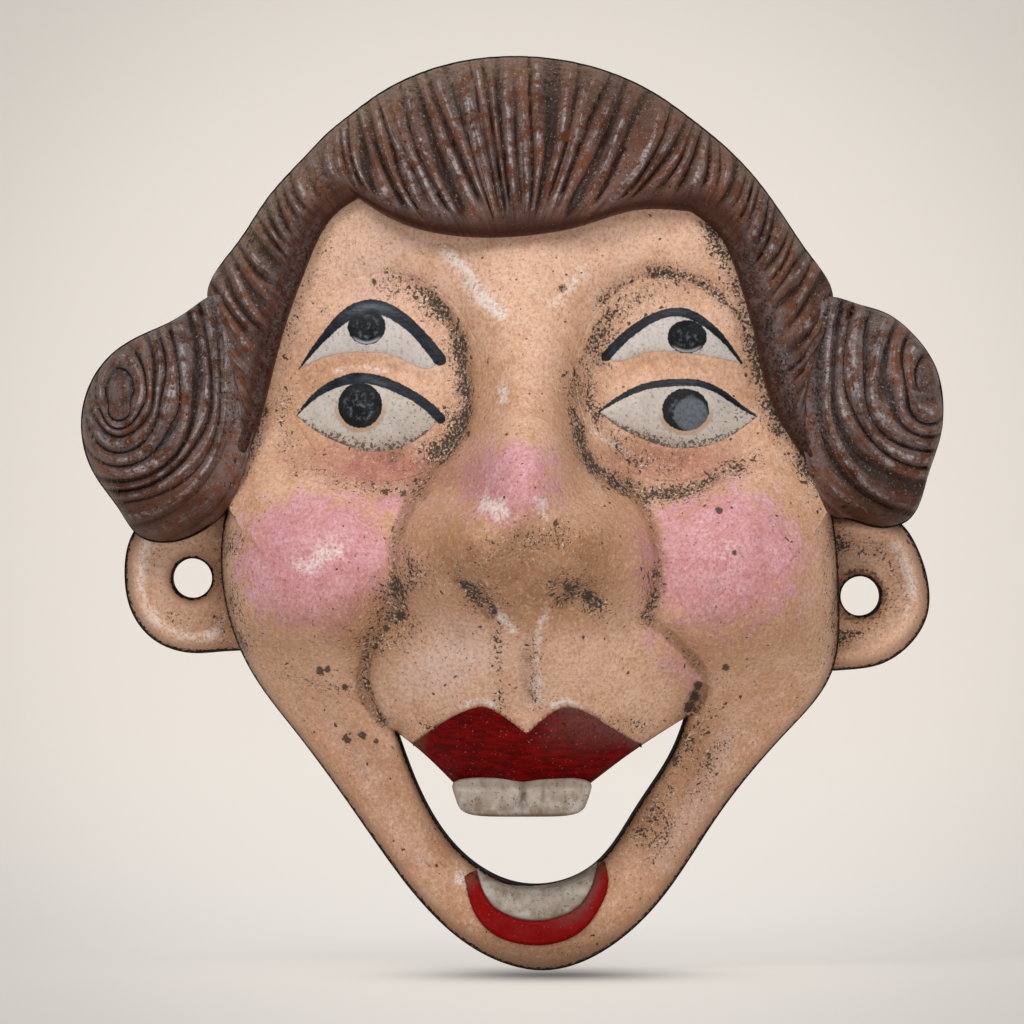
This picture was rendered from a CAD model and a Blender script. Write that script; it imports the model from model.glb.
"""Looks of the cast iron wall face: enamel paint over a sand casting."""

import math

import bpy
import numpy as np
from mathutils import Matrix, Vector


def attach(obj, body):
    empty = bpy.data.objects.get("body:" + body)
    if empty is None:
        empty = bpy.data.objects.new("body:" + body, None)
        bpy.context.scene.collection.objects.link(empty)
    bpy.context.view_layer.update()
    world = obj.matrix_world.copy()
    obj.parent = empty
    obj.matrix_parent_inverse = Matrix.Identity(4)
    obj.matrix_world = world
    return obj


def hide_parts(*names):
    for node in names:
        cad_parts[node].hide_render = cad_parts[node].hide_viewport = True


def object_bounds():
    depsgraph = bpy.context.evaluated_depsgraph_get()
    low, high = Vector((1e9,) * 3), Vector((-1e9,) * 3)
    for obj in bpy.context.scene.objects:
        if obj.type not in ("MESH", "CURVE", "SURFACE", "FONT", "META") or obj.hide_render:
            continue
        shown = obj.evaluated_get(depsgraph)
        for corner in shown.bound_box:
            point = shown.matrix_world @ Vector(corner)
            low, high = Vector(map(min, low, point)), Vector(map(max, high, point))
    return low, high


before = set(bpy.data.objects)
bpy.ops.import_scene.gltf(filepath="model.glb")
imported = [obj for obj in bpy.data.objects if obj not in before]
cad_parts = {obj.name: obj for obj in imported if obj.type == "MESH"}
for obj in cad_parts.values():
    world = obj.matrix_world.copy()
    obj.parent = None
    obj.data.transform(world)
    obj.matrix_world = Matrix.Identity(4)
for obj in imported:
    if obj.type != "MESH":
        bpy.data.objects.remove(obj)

# ------------------------------------------------------------------ frame

# Shapes are drawn in millimetres on a face 96 wide, 102 high and 34.2 deep,
# and follow the real box of the frame.
LOW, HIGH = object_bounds()
WIDE = (HIGH.x - LOW.x) / 96.0
TALL = (HIGH.z - LOW.z) / 102.0
DEEP = -LOW.y / 34.2


# ------------------------------------------------------------------ curves

def smooth(points, count):
    """A cubic through the points whose bend runs on evenly from span to span.

    Spans are as long as their chords.  The ends are free, or join up if the first
    and last points are the same.  The result is count points an even way apart.
    """
    pts = np.array(points, float)
    size = len(pts)
    span = np.hypot(*np.diff(pts, axis=0).T)
    knots = np.concatenate([[0.0], np.cumsum(span)])
    slope = np.diff(pts, axis=0) / span[:, None]
    closed = np.allclose(pts[0], pts[-1])
    before, after = span[:-1], span[1:]
    row = np.arange(1, size - 1)
    system = np.zeros((size, size))
    right = np.zeros((size, 2))
    system[row, row - 1] = after
    system[row, row] = 2 * (before + after)
    system[row, row + 1] = before
    right[row] = 3 * (after[:, None] * slope[:-1] + before[:, None] * slope[1:])
    if closed:
        system[0, 0] = 2 * (span[0] + span[-1])
        system[0, -2] += span[0]
        system[0, 1] += span[-1]
        right[0] = 3 * (span[0] * slope[-1] + span[-1] * slope[0])
        system[-1, [0, -1]] = 1, -1
    else:
        system[0, :2] = 2, 1
        right[0] = 3 * slope[0]
        system[-1, -2:] = 1, 2
        right[-1] = 3 * slope[-1]
    lean = np.linalg.solve(system, right)
    fine = np.linspace(0, knots[-1], 400)
    k = np.clip(np.searchsorted(knots, fine, side="right") - 1, 0, size - 2)
    t = ((fine - knots[k]) / span[k])[:, None]
    width = span[k][:, None]
    line = ((2 * t**3 - 3 * t**2 + 1) * pts[k] + (t**3 - 2 * t**2 + t) * width * lean[k]
            + (3 * t**2 - 2 * t**3) * pts[k + 1] + (t**3 - t**2) * width * lean[k + 1])
    run = np.concatenate([[0.0], np.cumsum(np.hypot(*np.diff(line, axis=0).T))])
    even = np.linspace(0, run[-1], count)
    return np.stack([np.interp(even, run, line[:, 0]), np.interp(even, run, line[:, 1])], -1)


def reach(x, z, points, count=26):
    """Distance from (x, z) to a smooth curve, and the share of it that is nearest.  With
    no count the points are taken as they are."""
    line = smooth(points, count) if count and len(points) > 2 else np.array(points, float)
    start, end = line[:-1], line[1:]
    step = end - start
    best = np.full(np.shape(x), 1e9)
    share = np.zeros(np.shape(x))
    for k in range(len(step)):
        along = (x - start[k, 0]) * step[k, 0] + (z - start[k, 1]) * step[k, 1]
        along = np.clip(along / (step[k] @ step[k]), 0, 1)
        away = np.hypot(x - start[k, 0] - along * step[k, 0], z - start[k, 1] - along * step[k, 1])
        share = np.where(away < best, (k + along) / len(step), share)
        best = np.minimum(best, away)
    return best, share


def trace(x, z, points, width, power=2.0):
    """1 on a curve, falling off to nothing at a few widths from it."""
    return np.exp(-(reach(x, z, points)[0] / width) ** power)


def crease(x, z, points, width):
    """1 along the middle of a curve, fading across it and towards its two ends."""
    away, share = reach(x, z, points)
    return np.exp(-(away / width) ** 2) * np.sin(math.pi * np.clip(share, 0.001, 0.999)) ** 0.7


def swell(x, z, middle, radii, power=2.0, lean=0.0):
    """A smooth swelling of height 1: exp(-(distance in radii) ** power)."""
    turn = math.radians(lean)
    dx, dz = x - middle[0], z - middle[1]
    along = (dx * math.cos(turn) + dz * math.sin(turn)) / radii[0]
    upward = (dz * math.cos(turn) - dx * math.sin(turn)) / radii[1]
    return np.exp(-np.hypot(along, upward) ** power)


def ease(value, low, high):
    """0 below low, 1 above high, and an even S between."""
    t = np.clip((value - low) / (high - low), 0, 1)
    return t * t * (3 - 2 * t)


def waver(x, z, seed, size):
    """Uneven ground of height about 1: a few crossed waves of about that size."""
    rng = np.random.default_rng(seed)
    total = np.zeros(np.shape(x))
    for turn, phase, stretch in zip(rng.uniform(0, math.tau, 7), rng.uniform(0, math.tau, 7),
                                    rng.uniform(0.6, 1.7, 7)):
        total = total + np.sin((x * math.cos(turn) + z * math.sin(turn)) * math.tau
                               / (size * stretch) + phase)
    return total / 2.6


# ------------------------------------------------------------------ outlines

CHIN = (2.7, -42.6)
JAW_LEFT = [CHIN, (-4.6, -40.9), (-12.1, -34.6), (-18.3, -26.3), (-25.6, -16.3),
            (-30.6, -9.4), (-33.4, -2.0), (-33.9, 5.0)]
TEMPLE_LEFT = [(-33.9, 5.0), (-33.2, 9.0), (-30.6, 15.4), (-28.2, 23.6), (-25.4, 33.0),
               (-21.8, 41.0), (-18.6, 43.2)]
HAIRLINE = [(-18.6, 43.2), (-16.2, 41.6), (-13.2, 40.1), (-9.4, 39.2), (-4.8, 38.7), (-0.2, 38.9),
            (4.4, 39.6), (9.0, 41.0), (13.6, 42.0), (18.2, 41.7)]
TEMPLE_RIGHT = [(18.2, 41.7), (21.4, 39.0), (24.4, 31.6), (26.3, 23.1), (29.6, 16.0),
                (33.0, 11.4), (34.2, 7.0)]
JAW_RIGHT = [(34.2, 7.0), (34.8, -1.3), (34.0, -9.6), (28.9, -16.3), (20.8, -26.3),
             (15.1, -34.6), (9.3, -40.0), CHIN]
OUTLINE = JAW_LEFT + TEMPLE_LEFT[1:-1] + [(-17.5, 43.4)] + HAIRLINE[1:-1] + TEMPLE_RIGHT + JAW_RIGHT[1:]

MOUTH_BOWL = [(-14.4, -16.0), (-11.7, -23.0), (-7.2, -29.6), (-0.2, -33.2), (7.2, -31.3),
              (12.3, -24.6), (16.4, -18.0), (17.8, -14.3)]
MOUTH_RIGHT = [(17.8, -14.3), (11.9, -18.0), (6.9, -21.8)]
MOUTH_ROOT = [(6.9, -21.8), (-7.9, -21.8)]
MOUTH_LEFT = [(-7.9, -21.8), (-11.8, -18.0), (-14.4, -16.0)]

# The two painted lash lines and the lower edge of the white of each eye, from
# the left corner to the right, and the half width of the brush along the lash.
EYES = {
    "upper_eye_left": {
        "lash": [(-25.3, 24.2), (-23.8, 26.2), (-21.8, 28.5), (-19.5, 30.5), (-17.3, 31.2),
                 (-14.9, 30.5), (-12.3, 28.5), (-9.6, 25.3)],
        "under": [(-25.3, 24.2), (-21.9, 25.7), (-18.0, 26.1), (-14.0, 25.4), (-10.4, 24.4),
                  (-9.6, 25.3)],
        "brush": (0.15, 0.45, 0.8, 0.85, 0.72, 0.8),
        "pupil": ((-17.7, 28.9), (2.1, 2.0)),
    },
    "lower_eye_left": {
        "lash": [(-25.5, 19.1), (-23.4, 21.3), (-21.2, 22.6), (-19.0, 23.2), (-16.7, 23.0),
                 (-14.0, 22.0), (-11.3, 20.4), (-9.5, 18.7)],
        "under": [(-25.5, 19.1), (-23.4, 17.4), (-20.8, 16.1), (-18.0, 15.2), (-15.4, 15.2),
                  (-12.6, 16.1), (-9.5, 18.7)],
        "brush": (0.15, 0.45, 0.68, 0.68, 0.6, 0.62),
        "pupil": ((-18.4, 20.2), (2.45, 2.5)),
    },
    "upper_eye_right": {
        "lash": [(8.8, 25.6), (10.5, 27.4), (12.8, 29.2), (15.1, 30.3), (17.3, 30.5),
                 (19.6, 29.5), (21.6, 27.8), (23.9, 24.9)],
        "under": [(8.8, 25.6), (9.4, 25.2), (12.8, 25.9), (16.2, 26.1), (20.0, 25.7),
                  (23.9, 24.9)],
        "brush": (0.62, 0.6, 0.55, 0.6, 0.42, 0.2),
        "pupil": ((17.8, 27.8), (2.2, 1.85)),
    },
    "lower_eye_right": {
        "lash": [(8.0, 19.5), (10.3, 21.0), (13.3, 22.3), (16.2, 22.7), (19.2, 22.6),
                 (21.8, 21.5), (23.9, 20.0), (25.6, 19.0)],
        "under": [(8.0, 19.5), (10.5, 17.6), (12.8, 16.5), (15.1, 15.7), (17.7, 15.5),
                  (20.5, 15.9), (22.9, 17.0), (25.6, 19.0)],
        "brush": (0.18, 0.4, 0.5, 0.46, 0.4, 0.2),
        "pupil": ((17.6, 19.7), (2.6, 2.35)),
    },
}
PADS = {"left": (-15.75, 23.3), "right": (16.15, 23.3)}
PAD_RADII = (10.8, 11.6)

# Where sand pits and grime gather: (curve, width, strength).
PITS = [
    ([(-15.7, 35.0), (-12.0, 33.6), (-9.6, 31.4), (-7.4, 26.4), (-6.6, 20.8), (-8.3, 15.3),
      (-12.3, 11.8)], 1.0, 0.56),
    ([(-24.0, 13.1), (-19.5, 11.4), (-14.0, 11.1)], 1.0, 0.60),
    ([(8.7, 31.9), (12.6, 34.7), (18.2, 34.1), (23.1, 30.8), (25.4, 26.4)], 1.1, 0.80),
    ([(5.8, 24.2), (5.4, 18.6), (7.5, 13.3), (11.5, 10.8), (19.3, 11.4), (25.4, 14.7)], 1.3, 0.80),
    ([(-13.0, 2.0), (-14.6, -2.0), (-15.2, -4.6), (-17.4, -6.4)], 2.3, 0.85),
    ([(13.7, 1.4), (13.7, -1.3), (12.6, -3.8)], 1.0, 0.55),
    ([(-7.6, 0.9), (-5.3, -0.6), (-3.8, -3.0)], 1.7, 0.72),
    ([(3.2, 0.2), (5.6, 0.0), (7.8, -1.8)], 1.7, 0.85),
    ([(-3.2, -3.6), (-3.3, -8.0), (-2.9, -12.8)], 0.8, 0.62),
    ([(0.4, -4.8), (0.9, -12.4)], 0.9, 0.5),
    ([(-27.0, -9.4), (-21.6, -11.0), (-18.0, -12.4)], 0.8, 0.55),
    ([(18.8, -15.2), (16.2, -20.2), (12.9, -26.2)], 2.2, 0.85),
    ([(-32.6, 5.8), (-33.0, -1.3), (-31.5, -6.3)], 1.4, 0.75),
    ([(34.4, 6.4), (34.5, -0.2), (33.9, -6.9)], 1.5, 0.75),
    ([(-17.8, -8.9), (-17.1, -12.4), (-14.3, -16.3)], 0.7, 0.6),
    ([(20.4, 40.0), (24.0, 32.0), (25.9, 24.0), (28.6, 17.0), (32.4, 11.0)], 1.3, 0.95),
    ([(-29.0, 20.0), (-30.8, 14.4), (-33.2, 8.6)], 0.9, 0.75),
    ([(-20.4, 41.0), (-24.6, 33.0), (-27.4, 25.6)], 0.8, 0.40),
    ([(-26.6, 20.8), (-27.2, 16.4), (-25.6, 13.2)], 1.2, 0.55),
    ([(-4.0, 3.4), (0.0, 5.0), (4.0, 5.6)], 2.2, 0.45),
    ([(-12.0, -16.0), (-8.6, -14.4)], 1.0, 0.55),
    ([(8.6, -14.6), (13.0, -15.6)], 1.2, 0.5),
    ([(21.2, -17.4), (18.6, -22.0), (14.8, -28.2)], 1.5, 0.60),
]
# Blobs of black where the paint has gone: (x, z, radius).
CHIPS = [(4.0, 33.1, 0.6), (-4.8, 36.6, 0.3), (-16.9, 33.9, 0.5), (3.2, 7.2, 0.45), (4.1, 23.4, 0.35),
         (-13.8, -3.0, 0.7), (-15.4, -4.4, 0.5), (-3.5, -2.5, 0.5), (-14.8, 6.6, 0.35), (4.5, 0.1, 0.6),
         (6.7, -0.8, 0.7), (-22.8, -9.2, 0.65), (-22.0, -9.0, 0.5), (-19.9, -16.8, 0.7), (-18.2, -16.4, 0.6),
         (-16.7, -17.0, 0.4), (-20.1, -11.0, 0.5), (22.9, 3.9, 0.4), (21.2, 8.6, 0.5), (22.0, -8.8, 0.6),
         (35.4, 6.6, 0.8), (33.3, 10.0, 0.8), (-13.6, 10.4, 0.5), (-15.6, 10.6, 0.5), (-6.4, 17.0, 0.4),
         (19.0, -10.8, 0.7), (18.6, -12.0, 0.8), (18.0, -13.2, 0.8), (-2.2, 16.9, 0.3)]
# Pale touches of the brush: (curve, width, strength).
TOUCHES = [
    ([(-9.0, 37.4), (-7.0, 35.4), (-5.7, 33.4)], 0.75, 0.82),
    ([(-5.7, 33.4), (-4.4, 31.6), (-2.9, 30.2)], 0.85, 0.95),
    ([(6.4, 35.3), (4.6, 33.0), (3.0, 31.4)], 0.85, 0.55),
    ([(-2.6, 21.6), (-2.6, 20.8)], 0.7, 0.85),
    ([(-4.4, 9.4), (-2.8, 8.6)], 1.15, 0.78),
    ([(1.4, 9.6), (2.0, 8.0)], 0.7, 0.70),
    ([(-24.4, 2.4), (-22.0, 3.8), (-20.8, 4.2)], 1.1, 0.72),
    ([(20.6, 5.0), (21.6, 3.4)], 1.5, 0.42),
    ([(-7.4, -32.2), (-6.9, -33.0)], 0.7, 0.75),
    ([(-6.8, -12.9), (-5.0, -12.4), (-3.6, -12.9)], 0.45, 0.8),
    ([(3.0, -12.9), (4.4, -12.4), (6.0, -13.2)], 0.45, 0.8),
    ([(-3.6, -2.2), (-2.4, -3.6), (-1.4, -4.6)], 0.55, 0.75),
    ([(2.2, -2.4), (1.4, -4.6), (1.2, -8.0), (1.3, -12.4)], 0.55, 0.60),
    ([(-21.4, 23.9), (-19.5, 24.5), (-17.2, 24.4), (-15.2, 23.7)], 0.28, 0.55),
    ([(-12.2, 26.8), (-9.6, 24.2), (-7.6, 20.0)], 0.5, 0.35),
    ([(7.2, 17.4), (9.4, 16.0), (11.4, 15.0)], 0.4, 0.65),
    ([(-13.6, 11.0), (-15.0, 10.9)], 0.4, 0.5),
]


# ------------------------------------------------------------------ relief

# Grooves modelled in the skin: (curve, width, depth).
CREASES = [
    ([(-11.0, 12.0), (-13.4, 8.0), (-14.4, 4.0), (-14.4, 0.0), (-15.6, -4.6)], 1.3, 1.3),
    ([(10.6, 12.0), (13.0, 8.4), (14.3, 4.0), (14.2, 0.0), (13.0, -3.6)], 1.3, 1.3),
    ([(-14.6, -2.6), (-17.4, -7.0), (-17.8, -11.6), (-14.6, -16.6)], 1.2, 1.5),
    ([(12.4, -2.6), (17.2, -6.6), (19.4, -9.8), (18.6, -14.6)], 1.2, 1.3),
    ([(-8.8, 1.6), (-5.6, -0.6), (-3.4, -3.6)], 1.3, 1.7),
    ([(3.0, -2.2), (5.7, -0.4), (8.4, -2.4)], 1.4, 1.9),
    ([(-0.3, -3.0), (0.0, -9.0), (0.1, -14.5)], 1.5, 0.9),
    (PITS[0][0], 1.1, 0.8),
    (PITS[3][0], 1.1, 0.6), ([(19.4, -10.4), (18.2, -14.2)], 0.9, 1.6),
    (PITS[2][0], 0.9, 0.4),
]
# Swellings of the skin: (height, middle, radii, power, lean).
SWELLS = [
    (-2.9, (-15.75, 22.7), (12.0, 12.6), 6.0),            # left socket
    (-2.9, (16.15, 22.7), (12.0, 12.6), 6.0),             # right socket
    (3.4, (0.0, 25.0), (7.4, 15.0), 3.0),                 # brow
    (4.0, (-0.4, 12.0), (4.8, 12.0), 2.6),                # bridge of the nose
    (8.6, (-24.2, 1.0), (10.9, 11.0), 2.9),               # left cheek
    (8.6, (24.4, 0.6), (11.1, 11.4), 2.9),                # right cheek
    (9.6, (-0.3, 7.4), (9.2, 9.6), 3.0),                  # bulb of the nose
    (7.4, (-8.6, 3.0), (6.0, 6.4), 3.2, 25.0),            # left wing
    (7.4, (8.5, 3.0), (6.0, 6.4), 3.2, -25.0),            # right wing
    (9.4, (0.6, -12.6), (17.2, 12.0), 3.6),               # muzzle
]


def skin_depth(x, z):
    """Depth of the skin before the wall: a broad dome above and a rounded bar of jaw
    below, joined by an S; swellings for brow, cheeks, nose, wings and muzzle are added,
    sockets, nostrils, folds and the groove under the nose are taken away."""
    away = (x / 40.0) ** 2 + ((z - 12.0) / 50.0) ** 2
    dome = 9.0 + 11.0 * np.maximum(-0.4, 1.0 - away)
    jaw = 11.0 + 2.5 * np.exp(-((z + 38.0) / 9.0) ** 2)
    below = 1.0 / (1.0 + np.exp((z + 10.0) / 3.2))
    depth = dome * (1.0 - below) + jaw * below
    for height, *shape in SWELLS:
        depth = depth + height * swell(x, z, *shape)
    for points, width, deep in CREASES:
        depth = depth - deep * crease(x, z, points, width)
    for middle in (-17.2, 16.6):
        depth = depth + 2.2 * swell(x, z, (middle, 19.4), (9.0, 5.6), 2.6)
        depth = depth + 1.8 * swell(x, z, (middle, 28.6), (8.4, 4.6), 2.6)
        fold = [(middle - 8.6, 22.2), (middle - 4.0, 24.6), (middle + 2.0, 24.6), (middle + 8.0, 22.0)]
        depth = depth - 0.3 * crease(x, z, fold, 0.8)
        bag = [(middle - 6.5, 14.4), (middle, 12.7), (middle + 6.5, 14.2)]
        depth = depth + 0.5 * crease(x, z, bag, 1.3)
    return depth + 0.12 * waver(x, z, 3, 9.0) + 0.05 * waver(x, z, 4, 2.6)


HOLLOW = [(-0.5, 53.4), (-16.5, 49.5), (-27.0, 38.0), (-25.0, 22.0), (-27.8, 8.0),
          (-26.0, -4.0), (-17.0, -11.0), (0.0, -17.6), (18.0, -10.5), (28.0, -4.0),
          (29.0, 8.0), (25.0, 22.0), (26.0, 38.0), (15.5, 49.5), (-0.5, 53.4)]


def inside(x, z, line):
    """True where an even-odd count of the closed line's crossings says inside."""
    within = np.zeros(np.shape(x), bool)
    for (x0, z0), (x1, z1) in zip(line[:-1], line[1:]):
        if z0 != z1:
            crosses = (z < z0) != (z < z1)
            within ^= crosses & (x < x0 + (z - z0) * (x1 - x0) / (z1 - z0))
    return within


def hollow_depth(x, z):
    """Depth of the hollow back: a smoothed copy of the dome, nothing outside its rim."""
    away = (x / 40.0) ** 2 + ((z - 12.0) / 50.0) ** 2
    dome = 4.0 + 8.0 * np.clip(1.0 - away, 0.0, 1.0)
    nose = 5.0 * swell(x, z, (0.0, 4.0), (12.0, 15.0), 3.0)
    cheeks = 3.0 * (swell(x, z, (-21.0, 1.0), (10.0, 9.0)) + swell(x, z, (21.0, 1.0), (10.0, 9.0)))
    rim = smooth(HOLLOW, 70)
    deep = np.where(inside(x, z, rim), reach(x, z, rim, 0)[0], 0.0)
    return ease(deep, 0.0, 3.0) * (dome + nose + cheeks)


# ------------------------------------------------------------------ meshes

def weave(name, x, depth, z, node, slot, finish, poles=True, sharp=35.0, **marks):
    """A closed skin over a grid of points: columns join up, rows either join up too or
    close on a pole at each end.  marks are numbers for each point, kept as attributes."""
    rows, columns = x.shape
    points = np.stack([x * WIDE, -depth * DEEP, z * TALL], -1)
    index = np.arange(rows * columns).reshape(rows, columns)
    keep = np.ones((rows, columns), bool)
    if poles:
        for end in (0, -1):
            points[end] = points[end].mean(0)
            index[end] = index[end, 0]
            keep[end, 1:] = False
    else:
        index = np.vstack([index, index[:1]])
    number = np.cumsum(keep.ravel()) - 1
    index = number[index]
    near = index[:-1]
    far = index[1:]
    quads = np.stack([near, np.roll(near, -1, 1), np.roll(far, -1, 1), far], -1).reshape(-1, 4)
    flat = points.reshape(-1, 3)[keep.ravel()]
    corners = flat[quads]
    volume = np.einsum("ij,ij->i", corners[:, 0], np.cross(corners[:, 1], corners[:, 2])).sum()
    volume += np.einsum("ij,ij->i", corners[:, 0], np.cross(corners[:, 2], corners[:, 3])).sum()
    if volume < 0:
        quads = quads[:, ::-1]
    double = quads == np.roll(quads, -1, 1)
    whole = quads[~double.any(1)]
    pointed = quads[double.sum(1) == 1]
    pointed = pointed[~double[double.sum(1) == 1]].reshape(-1, 3)
    mesh = bpy.data.meshes.new(name)
    mesh.vertices.add(len(flat))
    mesh.vertices.foreach_set("co", flat.ravel())
    sizes = np.concatenate([np.full(len(whole), 4), np.full(len(pointed), 3)])
    mesh.loops.add(int(sizes.sum()))
    mesh.loops.foreach_set("vertex_index", np.concatenate([whole.ravel(), pointed.ravel()]))
    mesh.polygons.add(len(sizes))
    mesh.polygons.foreach_set("loop_start", np.concatenate([[0], np.cumsum(sizes)[:-1]]))
    mesh.update(calc_edges=True)
    mesh.validate()
    mesh.polygons.foreach_set("use_smooth", np.ones(len(mesh.polygons), bool))
    mesh.set_sharp_from_angle(angle=math.radians(sharp))
    for mark, values in marks.items():
        spread_out = np.broadcast_to(values, x.shape).ravel()[keep.ravel()]
        layer = mesh.attributes.new(mark, "FLOAT", "POINT")
        layer.data.foreach_set("value", spread_out.astype(np.float32))
    mesh.materials.append(finish)
    piece = bpy.data.objects.new(name, mesh)
    bpy.context.scene.collection.objects.link(piece)
    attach(piece, "root")
    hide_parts(node)
    return piece


def rows_between(inner, outer, count, round_in, round_out, steps=7):
    """Rows of points from an inner loop to an outer one.  Near each loop the rows crowd
    as on a quarter round: at the angle a they are round * (1 - cos a) from the loop."""
    turn = np.linspace(0, math.pi / 2, steps)
    length = np.maximum(np.hypot(*(outer - inner).T), 1e-6)
    near = np.outer(1 - np.cos(turn), np.broadcast_to(round_in, length.shape))
    far = length - np.outer(1 - np.cos(turn[::-1]), np.broadcast_to(round_out, length.shape))
    middle = np.linspace(0, 1, count - 2 * steps + 2)[1:-1, None]
    away = np.concatenate([near, near[-1] + middle * (far[0] - near[-1]), far])
    share = away / length
    place = inner + share[..., None] * (outer - inner)
    return place[..., 0], place[..., 1], away, length - away


def quarter(distance, radius):
    """Drop of a quarter round of that radius at a distance in from its edge."""
    inward = np.clip(radius - distance, 0, radius)
    return radius - np.sqrt(radius**2 - inward**2)


def run(points, count, start=0.0, end=1.0):
    """count even points along a smooth curve between two shares of its length, without
    the point at the end."""
    line = smooth(points, 900) if len(points) > 2 else np.linspace(points[0], points[1], 900)
    at = np.linspace(start, end, count, endpoint=False) * 899
    whole = np.arange(900)
    return np.stack([np.interp(at, whole, line[:, 0]), np.interp(at, whole, line[:, 1])], -1)


def split(points, stops, counts):
    """A smooth closed curve cut at the places nearest the stops, each stretch with its
    own count of even points."""
    line = smooth(points, 1600)
    cuts = [0] + [int(np.argmin(np.hypot(*(line - stop).T))) for stop in stops] + [1599]
    at = np.concatenate([np.linspace(a, b, n, endpoint=False) for a, b, n in zip(cuts, cuts[1:], counts)])
    whole = np.arange(1600)
    return np.stack([np.interp(at, whole, line[:, 0]), np.interp(at, whole, line[:, 1])], -1)


def sideways(line, distance):
    """A closed loop moved outward, at right angles to itself, by a distance."""
    step = np.roll(line, -1, 0) - np.roll(line, 1, 0)
    step = step / np.hypot(*step.T)[:, None]
    area = np.sum(line[:, 0] * np.roll(line[:, 1], -1) - np.roll(line[:, 0], -1) * line[:, 1])
    out = np.stack([step[:, 1], -step[:, 0]], -1) * (1 if area > 0 else -1)
    return line + out * np.broadcast_to(distance, len(line))[:, None]


MOUTH_TOP = [(-14.4, -16.0), (-11.8, -18.0), (-7.9, -21.8), (6.9, -21.8), (11.9, -18.0), (17.8, -14.3)]


def mouth_drop(x, z):
    """The rounded edge of the open mouth: fuller along the bars of the jaw."""
    bowl = reach(x, z, MOUTH_BOWL, 60)[0]
    top = np.min([reach(x, z, pair)[0] for pair in zip(MOUTH_TOP, MOUTH_TOP[1:])], 0)
    return quarter(bowl, 2.6) + quarter(top, 0.9)


def body_depth(x, z):
    """The skin with the rounded edge of the mouth."""
    return skin_depth(x, z) - mouth_drop(x, z)


# ------------------------------------------------------------------ paint marks

# Patches of rouge, chalky wear and red lids: (strength, middle, radii, power, lean) for a
# swelling, (strength, curve, width) for a stroke.
ROUGE = [
    (1.0, (-23.1, 2.9), (9.8, 8.4), 4.5), (1.0, (21.6, 3.0), (10.4, 8.6), 4.0),
    (0.9, (-1.9, 11.4), (6.8, 5.6), 3.0), (0.62, (-16.0, 9.0), (7.0, 2.4), 3.0),
    (0.55, [(13.6, -5.4), (16.2, -7.6), (18.0, -10.4)], 2.0), (0.3, (-14.0, 34.5), (6.0, 6.5), 2.5),
]
CHALK = [
    (1.2, (-8.6, -8.2), (6.0, 3.6), 2.6, 24.0), (0.8, [(22.0, -17.4), (19.4, -23.0), (15.0, -29.6)], 1.7),
    (0.45, [(-22.0, -14.0), (-17.6, -21.6), (-11.6, -31.0)], 1.2), (0.5, (-17.4, 37.0), (4.0, 5.0), 3.0),
    (0.6, [(-0.2, -6.0), (0.4, -12.6)], 1.1),
]
LIDS = [(1.0, (-16.2, 13.5), (8.6, 2.5), 3.0, -6.0), (0.8, (16.4, 13.9), (7.8, 2.2), 3.0)]
# Brown wash: (middle, radii, strength).
BROWNS = [
    ((-8.6, 4.0), (5.4, 6.0), 0.75), ((7.8, 3.6), (7.0, 6.4), 0.75), ((0.0, 1.4), (8.0, 4.4), 0.95),
    ((-17.0, -4.6), (4.2, 4.4), 0.80), ((18.8, -6.6), (5.0, 5.0), 0.50), ((0.0, -1.8), (5.5, 3.0), 0.40),
    ((-25.4, -4.8), (7.5, 3.4), 0.55), ((27.4, -5.2), (7.5, 4.0), 0.55), ((-22.8, 22.4), (2.6, 1.5), 0.55),
    ((13.6, 15.0), (7.0, 1.6), 0.35), ((-6.4, 20.0), (1.6, 7.0), 0.45), ((5.0, 19.0), (1.8, 7.0), 0.50),
    ((18.4, -18.0), (2.6, 5.5), 1.0), ((14.0, -26.6), (2.4, 5.0), 0.85), ((0.6, 5.2), (4.6, 2.6), 0.55),
    ((-15.0, -2.6), (3.4, 3.6), 0.55), ((-25.8, 17.4), (1.6, 3.6), 0.45), ((17.0, 33.6), (7.0, 1.6), 0.35),
    ((3.0, -40.5), (12.0, 3.4), 0.50), ((-27.0, -10.0), (5.0, 5.0), 0.25),
]


def most(marks):
    """The largest of some marks, point by point."""
    return np.max(list(marks), 0)


def skin_marks(x, z):
    """Where rouge, pale touches, lids and grime lie on the skin."""
    around = sum(skin_depth(x + a, z + b) for a, b in ((1.4, 0), (-1.4, 0), (0, 1.4), (0, -1.4))) / 4
    cavity = around - skin_depth(x, z)
    grime = most(strength * trace(x, z, points, width, 1.6) for points, width, strength in PITS)
    touch = most(strength * trace(x, z, points, width * 1.2, 1.8) for points, width, strength in TOUCHES)
    rouge, chalk, lid = (
        most(strength * (swell(x, z, *shape) if isinstance(shape[0], tuple) else trace(x, z, *shape))
             for strength, *shape in table) for table in (ROUGE, CHALK, LIDS))
    pale = ease(z, 22.0, 36.0) + 0.8 * swell(x, z, (9.4, -10.0), (7.0, 6.0), 2.6)
    chips = most(np.exp(-((x - left) ** 2 + (z - up) ** 2) / radius**2) for left, up, radius in CHIPS)
    jaw = ease(-z, 9.0, 20.0)
    brown = np.zeros(x.shape)
    for middle, radii, strength in BROWNS:
        brown = brown + strength * swell(x, z, middle, radii, 2.2)
    return {"cavity": cavity, "grime": grime, "touch": touch, "rouge": rouge, "chalk": chalk,
            "lid": lid, "jaw": jaw, "brown": np.clip(brown, 0, 1), "pale": np.clip(pale, 0, 1),
            "chips": chips}


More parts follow.
